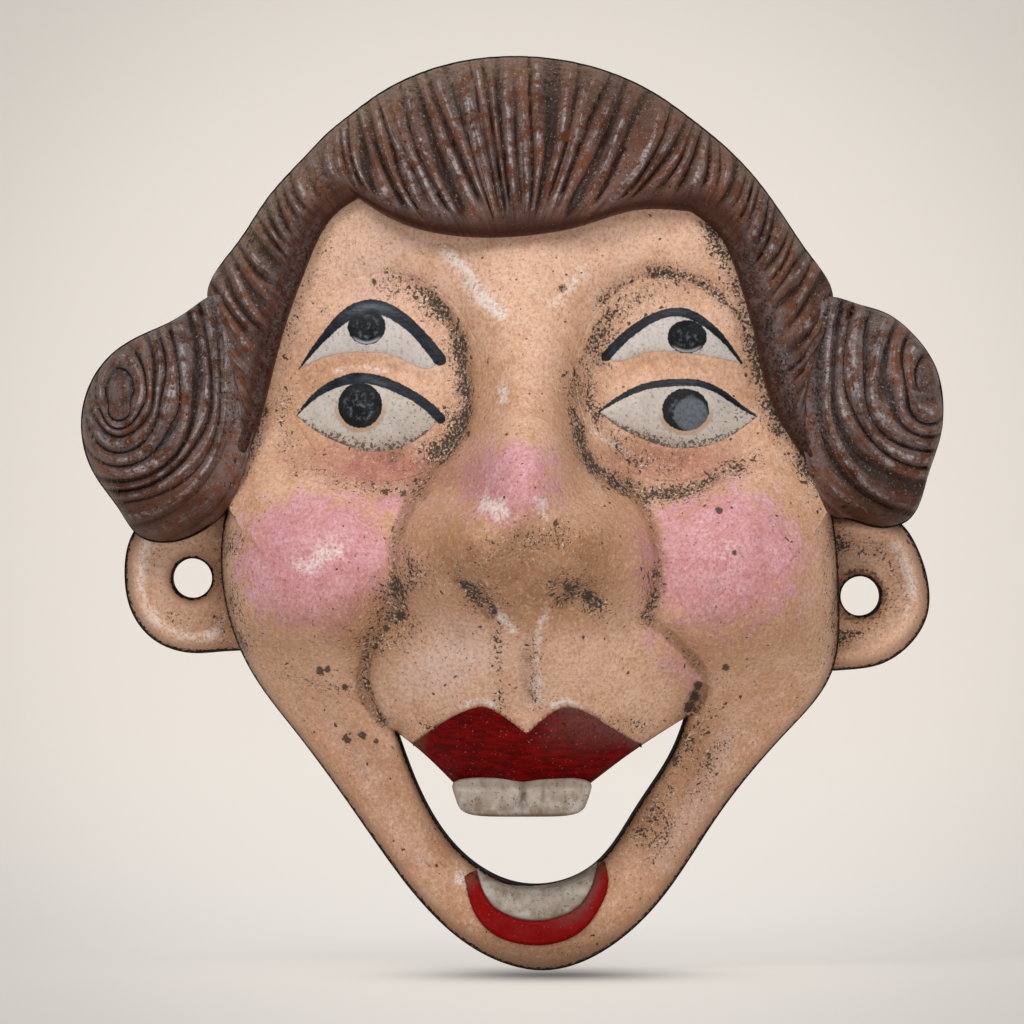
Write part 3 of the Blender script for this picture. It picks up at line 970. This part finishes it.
class Coats:
    """A finish mixed coat over coat: each call adds a node and hands back its socket."""

    def __init__(self, name):
        self.finish = bpy.data.materials.new(name)
        self.finish.use_nodes = True
        self.tree = self.finish.node_tree
        self.tree.nodes.clear()
        self.end = self.tree.nodes.new("ShaderNodeOutputMaterial")
        self.shader = self.tree.nodes.new("ShaderNodeBsdfPrincipled")
        self.tree.links.new(self.shader.outputs[0], self.end.inputs[0])
        self.place = self.tree.nodes.new("ShaderNodeTexCoord").outputs["Object"]

    def plug(self, socket, value):
        if isinstance(value, bpy.types.NodeSocket):
            self.tree.links.new(value, socket)
        elif isinstance(value, tuple) and len(value) == 3 and len(socket.default_value) == 4:
            socket.default_value = value + (1.0,)
        else:
            socket.default_value = value

    def mark(self, name):
        node = self.tree.nodes.new("ShaderNodeAttribute")
        node.attribute_name = name
        return node.outputs["Fac"]

    def sum(self, kind, a, b=0.0, c=0.0):
        node = self.tree.nodes.new("ShaderNodeMath")
        node.operation = kind
        for socket, value in zip(node.inputs, (a, b, c)):
            self.plug(socket, value)
        return node.outputs[0]

    def times(self, a, b):
        return self.sum("MULTIPLY", a, b)

    def plus(self, a, b):
        return self.sum("ADD", a, b)

    def less(self, a, b):
        return self.sum("SUBTRACT", a, b)

    def over(self, a, b):
        return self.sum("DIVIDE", a, b)

    def power(self, a, b):
        return self.sum("POWER", a, b)

    def most(self, a, b):
        return self.sum("MAXIMUM", a, b)

    def times_plus(self, a, b, c):
        return self.sum("MULTIPLY_ADD", a, b, c)

    def ramp(self, value, low, high, bottom=0.0, top=1.0, smooth_ends=True):
        node = self.tree.nodes.new("ShaderNodeMapRange")
        node.interpolation_type = "SMOOTHSTEP" if smooth_ends else "LINEAR"
        for socket, entry in zip(node.inputs, (value, low, high, bottom, top)):
            self.plug(socket, entry)
        return node.outputs[0]

    def mix(self, share, under, over, kind="MIX"):
        node = self.tree.nodes.new("ShaderNodeMix")
        node.data_type = "RGBA"
        node.blend_type = kind
        for socket, value in ((node.inputs[0], share), (node.inputs[6], under), (node.inputs[7], over)):
            self.plug(socket, value)
        return node.outputs[2]

    def spot(self, stretch=(1.0, 1.0, 1.0), turn=0.0, move=(0.0, 0.0, 0.0)):
        """Place in millimetres, stretched, leaned and moved."""
        node = self.tree.nodes.new("ShaderNodeMapping")
        self.plug(node.inputs["Vector"], self.place)
        node.inputs["Scale"].default_value = [1000.0 * s for s in stretch]
        node.inputs["Rotation"].default_value = (0.0, turn, 0.0)
        node.inputs["Location"].default_value = move
        return node.outputs[0]

    def mesh_spot(self, *names):
        node = self.tree.nodes.new("ShaderNodeCombineXYZ")
        for socket, value in zip(node.inputs, names):
            self.plug(socket, value)
        return node.outputs[0]

    def noise(self, size, detail=3.0, rough=0.6, where=None, warp=0.0):
        """Cloudy noise with features about size millimetres across."""
        node = self.tree.nodes.new("ShaderNodeTexNoise")
        self.plug(node.inputs["Vector"], where or self.spot())
        node.inputs["Scale"].default_value = 1.0 / size
        node.inputs["Detail"].default_value = detail
        node.inputs["Roughness"].default_value = rough
        node.inputs["Distortion"].default_value = warp
        return node.outputs["Fac"]

    def flecks(self, size, share, edge=0.04, detail=2.0, where=None):
        """Scattered specks: where fine noise passes a mark set by share (0 to 1)."""
        noise = self.noise(size, detail, 0.62, where)
        low = self.ramp(share, 0.0, 1.0, 0.80, 0.42, False)
        return self.ramp(self.less(noise, low), 0.0, edge)

    def bump(self, height, strength, depth=0.0003, under=None):
        node = self.tree.nodes.new("ShaderNodeBump")
        node.inputs["Strength"].default_value = strength
        node.inputs["Distance"].default_value = depth
        self.plug(node.inputs["Height"], height)
        if under is not None:
            self.plug(node.inputs["Normal"], under)
        return node.outputs[0]

    def chipped(self, cloud):
        """Bare iron where the iron mark and a cloud add up to more than half."""
        return self.ramp(self.plus(self.mark("iron"), self.ramp(cloud, 0.3, 0.7, -0.30, 0.12)), 0.46, 0.58)

    def cast_back(self, iron, grain, cloud):
        """Iron that turns grey-brown and rust-blotched where the back mark is one."""
        rust = self.mix(self.ramp(cloud, 0.42, 0.66), (0.040, 0.034, 0.031), (0.115, 0.050, 0.024))
        rust = self.mix(self.ramp(grain, 0.36, 0.62), self.mix(0.5, rust, (0.016, 0.012, 0.010)), rust)
        return self.mix(self.mark("back"), iron, rust)

    def done(self, colour, rough, normal, specular=0.5):
        self.plug(self.shader.inputs["Base Color"], colour)
        self.plug(self.shader.inputs["Roughness"], rough)
        self.plug(self.shader.inputs["Normal"], normal)
        self.shader.inputs["Specular IOR Level"].default_value = 0.2
        self.plug(self.shader.inputs["Specular IOR Level"], specular)
        return self.finish


def inked(coats, colour):
    """Blue-black lash paint with ragged sides and a grey sheen over the middle."""
    ragged = coats.ramp(coats.noise(0.30, 3.0, 0.7), 0.3, 0.7, -0.05, 0.05)
    mark = coats.plus(coats.mark("lash"), ragged)
    ink = coats.ramp(mark, 0.02, 0.11)
    streak = coats.noise(0.5, 4.0, 0.7, coats.spot((0.5, 1.0, 2.2)))
    paint = coats.mix(coats.ramp(streak, 0.35, 0.75), (0.004, 0.005, 0.008), (0.018, 0.026, 0.042))
    paint = coats.mix(coats.times(coats.mark("sheen"), coats.ramp(streak, 0.3, 0.6, 0.2, 0.8)),
                      paint, (0.13, 0.15, 0.19))
    return coats.mix(ink, colour, paint), ink


def skin_enamel():
    """Tan enamel over cast iron: brushed, blotched, pitted, dirty where it is hollow."""
    coats = Coats("skin_enamel")
    blotch = coats.noise(9.0, 4.0, 0.55)
    cloud = coats.noise(2.2, 5.0, 0.62)
    grain = coats.noise(0.42, 4.0, 0.72)
    fibre = coats.noise(0.5, 4.0, 0.7, coats.spot((2.2, 1.0, 0.42), 0.35))
    fibre_low = coats.noise(0.5, 4.0, 0.7, coats.spot((2.4, 1.0, 0.34), -0.45))
    cavity = coats.mark("cavity")
    grime = coats.mark("grime")
    jaw = coats.mark("jaw")
    tan = coats.mix(coats.ramp(blotch, 0.35, 0.65), (0.60, 0.335, 0.205), (0.70, 0.42, 0.285))
    tan = coats.mix(coats.times(coats.mark("pale"), 0.42), tan, (0.84, 0.54, 0.40))
    tan = coats.mix(jaw, tan, (0.52, 0.275, 0.160))
    tan = coats.mix(coats.ramp(cloud, 0.40, 0.78, 0.0, 0.45), tan, (0.72, 0.50, 0.39))
    tan = coats.mix(coats.ramp(cloud, 0.50, 0.24, 0.0, 0.4), tan, (0.47, 0.235, 0.12))
    chalk = coats.times(coats.mark("chalk"), coats.ramp(fibre, 0.30, 0.62, 0.2, 1.0))
    tan = coats.mix(coats.times(chalk, 0.80), tan, (0.64, 0.47, 0.42))
    pink = coats.mix(coats.ramp(cloud, 0.3, 0.7), (0.58, 0.215, 0.27), (0.68, 0.34, 0.41))
    worn = coats.ramp(coats.plus(coats.mark("rouge"), coats.ramp(cloud, 0.3, 0.7, -0.28, 0.28)), 0.25, 0.85)
    tan = coats.mix(coats.times(worn, 0.86), tan, pink)
    lid = coats.times(coats.mark("lid"), coats.ramp(cloud, 0.25, 0.6, 0.5, 1.0))
    tan = coats.mix(lid, tan, (0.37, 0.120, 0.090))
    brown = coats.times(coats.mark("brown"), coats.ramp(cloud, 0.25, 0.7, 0.50, 0.92))
    tan = coats.mix(brown, tan, (0.33, 0.152, 0.062))
    streaks = coats.mix(jaw, coats.mesh_spot(fibre, 0.0, 0.0), coats.mesh_spot(fibre_low, 0.0, 0.0))
    streak = coats.tree.nodes.new("ShaderNodeSeparateXYZ")
    coats.plug(streak.inputs[0], streaks)
    hair_line = coats.ramp(streak.outputs[0], 0.56, 0.74, 0.0, 0.22)
    tan = coats.mix(hair_line, tan, (0.30, 0.15, 0.08))
    tan = coats.mix(coats.ramp(streak.outputs[0], 0.44, 0.28, 0.0, 0.20), tan, (0.78, 0.60, 0.48))
    touch = coats.plus(coats.mark("touch"), coats.ramp(grain, 0.3, 0.7, -0.24, 0.18))
    touch = coats.plus(touch, coats.ramp(cloud, 0.3, 0.7, -0.22, 0.12))
    tan = coats.mix(coats.ramp(touch, 0.10, 1.0, 0.0, 0.84), tan, (0.84, 0.76, 0.72))
    wash = coats.ramp(coats.plus(cavity, coats.ramp(cloud, 0.3, 0.7, -0.05, 0.05)), 0.06, 0.42, 0.0, 0.62)
    tan = coats.mix(wash, tan, (0.26, 0.125, 0.060))
    clump = coats.ramp(coats.noise(3.6, 3.0, 0.6), 0.35, 0.62)
    dirt = coats.times(coats.plus(grime, coats.ramp(cavity, 0.10, 0.5, 0.0, 0.35)),
                     coats.times_plus(clump, 0.55, 0.45))
    tan = coats.mix(coats.times(dirt, 0.30), tan, (0.27, 0.17, 0.115))
    tan = coats.mix(coats.ramp(grain, 0.53, 0.38, 0.0, 0.34), tan, (0.27, 0.13, 0.07))
    tan = coats.mix(coats.ramp(grain, 0.53, 0.68, 0.0, 0.30), tan, (0.80, 0.66, 0.56))
    salt = coats.flecks(0.34, coats.times_plus(dirt, 0.62, 0.20), 0.06, 2.0,
                        coats.spot((1.0, 1.0, 1.0), 0.0, (13.0, 5.0, 29.0)))
    tan = coats.mix(coats.times(salt, 0.6), tan, (0.80, 0.68, 0.60))
    specks = coats.flecks(0.30, coats.times_plus(dirt, 0.66, coats.ramp(clump, 0.0, 1.0, 0.22, 0.36)), 0.05)
    specks = coats.times(specks, coats.ramp(dirt, 0.0, 0.6, 0.72, 0.92))
    fine = coats.flecks(0.19, coats.times_plus(dirt, 0.55, 0.40), 0.05)
    pits = coats.flecks(0.8, coats.times_plus(grime, 0.30, 0.15), 0.03, 1.0)
    chip = coats.plus(coats.mark("chips"), coats.ramp(grain, 0.3, 0.7, -0.26, 0.26))
    pits = coats.most(pits, coats.ramp(chip, 0.52, 0.66))
    black = coats.mix(grain, (0.014, 0.011, 0.010), (0.075, 0.052, 0.040))
    tan = coats.mix(coats.times(fine, 0.55), tan, (0.10, 0.060, 0.040))
    tan = coats.mix(specks, tan, black)
    tan = coats.mix(coats.times(pits, 0.92), tan, black)
    tan, ink = inked(coats, tan)
    edge = coats.plus(coats.mark("edge"), coats.ramp(grain, 0.3, 0.7, -0.10, 0.10))
    rust = coats.ramp(edge, 0.10, 0.85, 0.0, 0.62)
    tan = coats.mix(rust, tan, (0.22, 0.10, 0.045))
    bare = coats.most(coats.ramp(edge, 0.74, 0.86), coats.chipped(cloud))
    iron = coats.mix(coats.ramp(cloud, 0.3, 0.7), (0.006, 0.005, 0.004), (0.022, 0.014, 0.010))
    iron = coats.cast_back(iron, grain, blotch)
    tan = coats.mix(bare, tan, iron)
    rough = coats.ramp(cloud, 0.25, 0.75, 0.40, 0.58)
    rough = coats.plus(rough, coats.times(specks, 0.25))
    rough = coats.less(rough, coats.times(ink, 0.08))
    rough = coats.plus(rough, coats.times(bare, 0.4))
    normal = coats.bump(coats.noise(3.0, 4.0, 0.6), 0.30, 0.0004)
    normal = coats.bump(grain, 0.32, 0.00016, normal)
    normal = coats.bump(streak.outputs[0], 0.16, 0.00010, normal)
    normal = coats.bump(coats.less(1.0, coats.most(specks, pits)), 0.55, 0.00012, normal)
    return coats.done(tan, rough, normal, coats.ramp(bare, 0.0, 1.0, 0.24, 0.05))


def eye_enamel():
    """Chalk-white enamel with a black pupil, dirt along the lower lid and the lash."""
    coats = Coats("eye_enamel")
    grain = coats.noise(0.40, 4.0, 0.72)
    cloud = coats.noise(1.8, 4.0, 0.6)
    row = coats.mark("row")
    white = coats.mix(row, (0.49, 0.44, 0.395), (0.56, 0.51, 0.495))
    white = coats.mix(coats.ramp(cloud, 0.35, 0.7, 0.0, 0.5), white, (0.64, 0.59, 0.54))
    white = coats.mix(coats.ramp(grain, 0.52, 0.30, 0.0, 0.8), white, (0.30, 0.24, 0.185))
    grime = coats.times(coats.mark("grime"), coats.less(1.0, coats.times(row, 0.75)))
    stain = coats.times(grime, coats.ramp(cloud, 0.3, 0.65))
    white = coats.mix(coats.times(stain, 0.62), white, (0.27, 0.18, 0.10))
    specks = coats.flecks(0.34, coats.plus(coats.times(grime, 0.55),
                                          coats.ramp(row, 0.0, 1.0, 0.36, 0.24)), 0.05)
    white = coats.mix(coats.times(specks, 0.85), white, (0.07, 0.055, 0.045))
    pupil = coats.mark("pupil")
    halo = coats.times(coats.ramp(pupil, -0.62, -0.35), coats.less(1.0, row))
    lower = coats.ramp(coats.mark("climb"), 0.4, -0.6)
    white = coats.mix(coats.times(coats.times(halo, lower), 0.75), white, (0.42, 0.26, 0.155))
    ragged = coats.ramp(coats.noise(0.35, 3.0, 0.7), 0.3, 0.7, -0.06, 0.06)
    disc = coats.ramp(coats.plus(pupil, ragged), -0.05, 0.04)
    mottle = coats.ramp(coats.noise(0.6, 4.0, 0.7), 0.48, 0.72)
    black = coats.mix(coats.times(mottle, coats.ramp(pupil, 0.25, 1.0, 0.0, 0.85)),
                      (0.004, 0.005, 0.006), (0.12, 0.145, 0.175))
    veil = coats.times(coats.mark("veil"), coats.ramp(grain, 0.3, 0.7, 0.5, 1.0))
    black = coats.mix(veil, black, (0.125, 0.145, 0.17))
    white = coats.mix(disc, white, black)
    low_light = coats.times(coats.ramp(pupil, 0.55, 0.20), coats.ramp(pupil, 0.02, 0.20))
    low_light = coats.times(coats.times(low_light, coats.ramp(coats.mark("climb"), -0.45, -0.8)), row)
    white = coats.mix(coats.times(low_light, 0.8), white, (0.40, 0.42, 0.45))
    white, _ = inked(coats, white)
    rough = coats.ramp(grain, 0.3, 0.7, 0.34, 0.55)
    normal = coats.bump(cloud, 0.25, 0.0002)
    normal = coats.bump(grain, 0.35, 0.00012, normal)
    return coats.done(white, rough, normal, 0.20)


def lip_enamel():
    """Deep red enamel, brushed across, with chips and dust."""
    coats = Coats("lip_enamel")
    grain = coats.noise(0.40, 4.0, 0.7)
    cloud = coats.noise(2.6, 4.0, 0.6)
    stroke = coats.noise(0.8, 4.0, 0.65, coats.spot((0.45, 1.0, 2.0)))
    red = coats.mix(coats.ramp(stroke, 0.35, 0.65), (0.072, 0.0010, 0.0009), (0.165, 0.0016, 0.0014))
    red = coats.mix(coats.ramp(cloud, 0.50, 0.78, 0.0, 0.6), red, (0.045, 0.0012, 0.0010))
    red = coats.mix(coats.times(coats.mark("low"), 0.8), red, (0.235, 0.0022, 0.0016))
    dull = coats.times(coats.ramp(coats.mark("along"), 0.50, 0.75), coats.ramp(coats.mark("share"), 0.75, 0.1))
    red = coats.mix(coats.times(dull, coats.ramp(grain, 0.3, 0.6, 0.2, 0.62)), red, (0.14, 0.075, 0.065))
    ends = coats.most(coats.ramp(coats.mark("along"), 0.10, 0.02), coats.ramp(coats.mark("along"), 0.92, 0.99))
    red = coats.mix(coats.times(ends, 0.6), red, (0.16, 0.06, 0.04))
    dust = coats.flecks(0.30, 0.36, 0.05)
    red = coats.mix(coats.times(dust, 0.35), red, (0.42, 0.22, 0.18))
    chips = coats.flecks(0.8, coats.plus(0.22, coats.times(ends, 0.5)), 0.04)
    red = coats.mix(chips, red, (0.035, 0.018, 0.014))
    rough = coats.ramp(cloud, 0.3, 0.7, 0.30, 0.46)
    normal = coats.bump(stroke, 0.22, 0.00012)
    normal = coats.bump(grain, 0.22, 0.00008, normal)
    return coats.done(red, rough, normal, 0.05)


def tooth_enamel():
    """Grey-white enamel, stained brown along its edges and in the parting."""
    coats = Coats("tooth_enamel")
    grain = coats.noise(0.40, 4.0, 0.72)
    cloud = coats.noise(2.0, 4.0, 0.6)
    wash = coats.noise(1.1, 4.0, 0.62, coats.spot((1.0, 1.0, 0.5)))
    white = coats.mix(coats.ramp(cloud, 0.3, 0.7), (0.34, 0.28, 0.23), (0.48, 0.43, 0.385))
    white = coats.mix(coats.ramp(wash, 0.48, 0.70, 0.0, 0.75), white, (0.20, 0.135, 0.085))
    stained = coats.times(coats.ramp(coats.mark("share"), 0.35, 0.95), coats.ramp(cloud, 0.62, 0.38))
    white = coats.mix(coats.times(stained, 0.6), white, (0.17, 0.12, 0.08))
    share = coats.mark("share")
    edge = coats.most(coats.ramp(share, 0.80, 1.0), coats.ramp(share, 0.16, 0.0, 0.0, 0.7))
    white = coats.mix(coats.times(edge, 0.65), white, (0.15, 0.095, 0.06))
    white = coats.mix(coats.times(coats.mark("parting"), 0.6), white, (0.09, 0.07, 0.06))
    specks = coats.flecks(0.32, 0.44, 0.05)
    white = coats.mix(coats.times(specks, 0.8), white, (0.06, 0.045, 0.035))
    normal = coats.bump(cloud, 0.25, 0.00025)
    normal = coats.bump(grain, 0.4, 0.00014, normal)
    return coats.done(white, coats.ramp(grain, 0.3, 0.7, 0.42, 0.62), normal, 0.2)


def hair_enamel():
    """Brown enamel over combed ridges: red-brown sides, black speckled grooves, lilac-grey
    dust in patches, and pale glints broken up along the crests."""
    coats = Coats("hair_enamel")
    ridge = coats.mark("ridge")
    strand = coats.mark("strand")
    along = coats.mark("along")
    where = coats.mesh_spot(coats.times(strand, 3.2), coats.times(along, 0.16), 0.0)
    fibre = coats.noise(1.0, 4.0, 0.7, where)
    slow = coats.mesh_spot(coats.times(strand, 0.7), coats.times(along, 0.10), 3.0)
    lock = coats.noise(1.0, 2.0, 0.5, slow)
    grain = coats.noise(0.36, 4.0, 0.75)
    cloud = coats.noise(4.0, 4.0, 0.6)
    patch = coats.noise(1.5, 4.0, 0.7)
    band = coats.mark("band")
    temple = coats.mark("temple")
    brown = coats.mix(coats.ramp(lock, 0.35, 0.65), (0.064, 0.021, 0.009), (0.148, 0.052, 0.024))
    veil = coats.times(coats.ramp(patch, 0.36, 0.62), coats.times_plus(temple, 0.60, 0.28))
    brown = coats.mix(coats.times(veil, coats.ramp(band, 1.0, 0.2)), brown, (0.160, 0.138, 0.142))
    groove = coats.ramp(coats.plus(ridge, coats.ramp(fibre, 0.3, 0.7, -0.16, 0.16)), 0.74, 0.34)
    groove = coats.times(groove, coats.ramp(grain, 0.28, 0.56, 1.0, 0.72))
    brown = coats.mix(coats.times(groove, 0.95), brown, (0.007, 0.005, 0.005))
    crest = coats.ramp(coats.plus(ridge, coats.ramp(fibre, 0.3, 0.7, -0.20, 0.14)), 0.84, 1.04)
    glint = coats.times(crest, coats.ramp(patch, 0.42, 0.60))
    glint = coats.times(glint, coats.ramp(grain, 0.36, 0.60, 0.15, 1.0))
    brown = coats.mix(coats.times(glint, 0.80), brown, (0.46, 0.425, 0.44))
    grey = coats.times(coats.ramp(temple, 0.5, 1.0), coats.ramp(grain, 0.44, 0.60))
    brown = coats.mix(coats.times(grey, 0.55), brown, (0.27, 0.245, 0.25))
    dust = coats.times(coats.mark("worn"), coats.ramp(coats.noise(0.6, 4.0, 0.78), 0.38, 0.60))
    brown = coats.mix(coats.times(dust, 0.46), brown, (0.31, 0.205, 0.125))
    front = coats.times(band, coats.ramp(cloud, 0.3, 0.7, 0.75, 1.0))
    brown = coats.mix(coats.times(front, 0.95), brown, (0.036, 0.0095, 0.0045))
    specks = coats.flecks(0.34, coats.times_plus(coats.ramp(temple, 0.5, 1.0), 0.22, 0.44), 0.05)
    brown = coats.mix(coats.times(specks, 0.9), brown, (0.008, 0.006, 0.006))
    pale = coats.flecks(0.30, 0.44, 0.05, 2.0, coats.spot((1.0, 1.0, 1.0), 0.0, (31.0, 7.0, 12.0)))
    brown = coats.mix(coats.times(pale, coats.ramp(band, 0.0, 0.6, 0.5, 0.08)), brown, (0.40, 0.35, 0.34))
    iron = coats.chipped(patch)
    brown = coats.mix(iron, brown, coats.cast_back((0.008, 0.006, 0.005), grain, cloud))
    rough = coats.plus(coats.ramp(cloud, 0.3, 0.7, 0.30, 0.44), coats.times(groove, 0.3))
    rough = coats.plus(rough, coats.times(iron, 0.5))
    normal = coats.bump(fibre, 0.34, 0.00018)
    normal = coats.bump(grain, 0.42, 0.00014, normal)
    return coats.done(brown, rough, normal, coats.ramp(iron, 0.0, 1.0, 0.16, 0.05))


# ------------------------------------------------------------------ pieces

skin = skin_enamel()
hair = hair_enamel()
eye_paint = eye_enamel()
red = lip_enamel()
bone = tooth_enamel()

make_skin(skin)
for side in ("left", "right"):
    make_pad(side, skin)
    make_ear(side, skin)
    make_roll(side, hair)
for name in EYES:
    make_eye(name, eye_paint)
make_crown(hair)
strip("painted_mouth", LIP_OVER_LINE, LIP_UNDER_LINE, 60, 0.40, "upper_lip", "lip", red)
strip("painted_smile", smooth(GUM, 200), smooth(SMILE, 200), 34, 0.35, "lower_lip", "lip", red)
strip("painted_teeth", smooth(MOUTH_LOW, 160), smooth(GUM, 160), 40, 0.12, "lower_teeth", "tooth", bone)
make_tab(bone)


# ------------------------------------------------------------------ studio

def make_stage():
    """A floor that curves up into a backdrop, and is as wide as it is long."""
    low = -42.64 * TALL
    stand_back, eye_level, half_view = 1.2, 0.0084, 0.0479
    turn = np.linspace(0, math.pi / 2, 24)
    ahead, behind, curve = -1.6, 0.05, 1.1
    y = np.concatenate([np.linspace(ahead, behind, 12)[:-1], behind + curve * np.sin(turn), [behind + curve]])
    z = np.concatenate([np.full(11, low), low + curve * (1 - np.cos(turn)), [2.2]])
    x = np.linspace(-2.6, 2.6, 9)
    points = np.stack([np.broadcast_to(x[:, None], (9, len(y))), np.broadcast_to(y, (9, len(y))),
                       np.broadcast_to(z, (9, len(y)))], -1)
    number = np.arange(points[..., 0].size).reshape(9, -1)
    quads = np.stack([number[:-1, :-1], number[1:, :-1], number[1:, 1:], number[:-1, 1:]], -1).reshape(-1, 4)
    mesh = bpy.data.meshes.new("studio_sweep")
    mesh.from_pydata(points.reshape(-1, 3), [], quads.tolist())
    mesh.polygons.foreach_set("use_smooth", np.ones(len(quads), bool))
    mesh.update()
    sweep = bpy.data.objects.new("studio_sweep", mesh)
    bpy.context.scene.collection.objects.link(sweep)
    coats = Coats("studio_paper")
    tooth = coats.noise(0.8, 3.0, 0.6)
    axes = coats.tree.nodes.new("ShaderNodeSeparateXYZ")
    coats.plug(axes.inputs[0], coats.place)
    across, back, up = axes.outputs
    reach_back = coats.plus(back, stand_back)
    wide = coats.over(across, coats.times(reach_back, half_view))
    high = coats.over(coats.less(up, eye_level), coats.times(reach_back, half_view))
    round_about = coats.plus(coats.power(wide, 2.0), coats.power(high, 2.0))
    tone = coats.times(coats.ramp(round_about, 0.35, 2.1, 1.0, 0.775), coats.ramp(high, -0.7, 0.8, 1.035, 1.09))
    curved = coats.ramp(up, low + 0.0002, low + 0.024)
    beside = coats.power(coats.over(coats.less(across, 0.0026), 0.0125), 2.0)
    before = coats.power(coats.over(coats.plus(back, 0.021), 0.015), 2.0)
    contact = coats.sum("EXPONENT", coats.times(coats.plus(beside, before), -1.0))
    tone = coats.times(tone, coats.times_plus(contact, -0.80, 1.0))
    floor_glow = coats.ramp(back, -0.14, 0.05, 0.58, 0.64, False)
    glow = coats.plus(coats.times(floor_glow, coats.less(1.0, curved)),
                     coats.times(curved, 0.27))
    paper = coats.mix(curved, (0.20, 0.187, 0.174), (0.81, 0.755, 0.70))
    colour = coats.mix(1.0, paper, coats.mesh_spot(tone, tone, tone), "MULTIPLY")
    coats.shader.inputs["Emission Color"].default_value = (1.0, 0.955, 0.90, 1.0)
    coats.plug(coats.shader.inputs["Emission Strength"], coats.times(glow, tone))
    mesh.materials.append(coats.done(colour, 0.9, coats.bump(tooth, 0.05, 0.0002), 0.1))
    nodes, links = coats.tree.nodes, coats.tree.links
    sheet = nodes.new("ShaderNodeMixShader")
    links.new(nodes.new("ShaderNodeNewGeometry").outputs["Backfacing"], sheet.inputs[0])
    links.new(coats.shader.outputs[0], sheet.inputs[1])
    links.new(nodes.new("ShaderNodeBsdfTransparent").outputs[0], sheet.inputs[2])
    surface = next(node for node in nodes if node.type == "OUTPUT_MATERIAL")
    links.new(sheet.outputs[0], surface.inputs["Surface"])


def softbox(name, place, aim, size, power, tint):
    """A square soft light at a place, turned towards its aim."""
    lamp = bpy.data.lights.new(name, "AREA")
    lamp.shape = "RECTANGLE"
    lamp.size, lamp.size_y = size
    lamp.energy = power
    lamp.color = tint
    light = bpy.data.objects.new(name, lamp)
    light.location = place
    light.visible_camera = False
    direction = np.array(aim) - np.array(place)
    light.rotation_euler = Vector(direction).to_track_quat("-Z", "Y").to_euler()
    bpy.context.scene.collection.objects.link(light)


make_stage()
softbox("key_left", (-0.26, -0.52, 0.62), (0, 0, 0.01), (0.26, 0.26), 2.7, (1.0, 0.985, 0.96))
softbox("key_right", (0.34, -0.58, 0.50), (0, 0, 0.01), (0.26, 0.26), 1.6, (1.0, 0.985, 0.96))
softbox("low_fill", (0.0, -1.35, 0.05), (0, 0, 0.0), (0.9, 0.16), 4.6, (1.0, 0.98, 0.95))
softbox("top_fill", (0.0, -0.25, 0.95), (0, 0, 0.0), (0.9, 0.7), 2.4, (1.0, 0.99, 0.97))

world = bpy.data.worlds.new("studio_air")
world.use_nodes = True
world.node_tree.nodes["Background"].inputs[0].default_value = (1.0, 0.97, 0.93, 1.0)
world.node_tree.nodes["Background"].inputs[1].default_value = 0.14
bpy.context.scene.world = world
bpy.context.scene.view_settings.view_transform = "Standard"

lens_box = bpy.data.cameras.new("view")
lens_box.sensor_width = 36.0
lens_box.lens = 36.0 * 1.185 / 0.1135
camera = bpy.data.objects.new("view", lens_box)
camera.location = (-0.0016, -1.2, 0.0084)
camera.rotation_euler = (math.pi / 2, 0, 0)
bpy.context.scene.collection.objects.link(camera)
bpy.context.scene.camera = camera
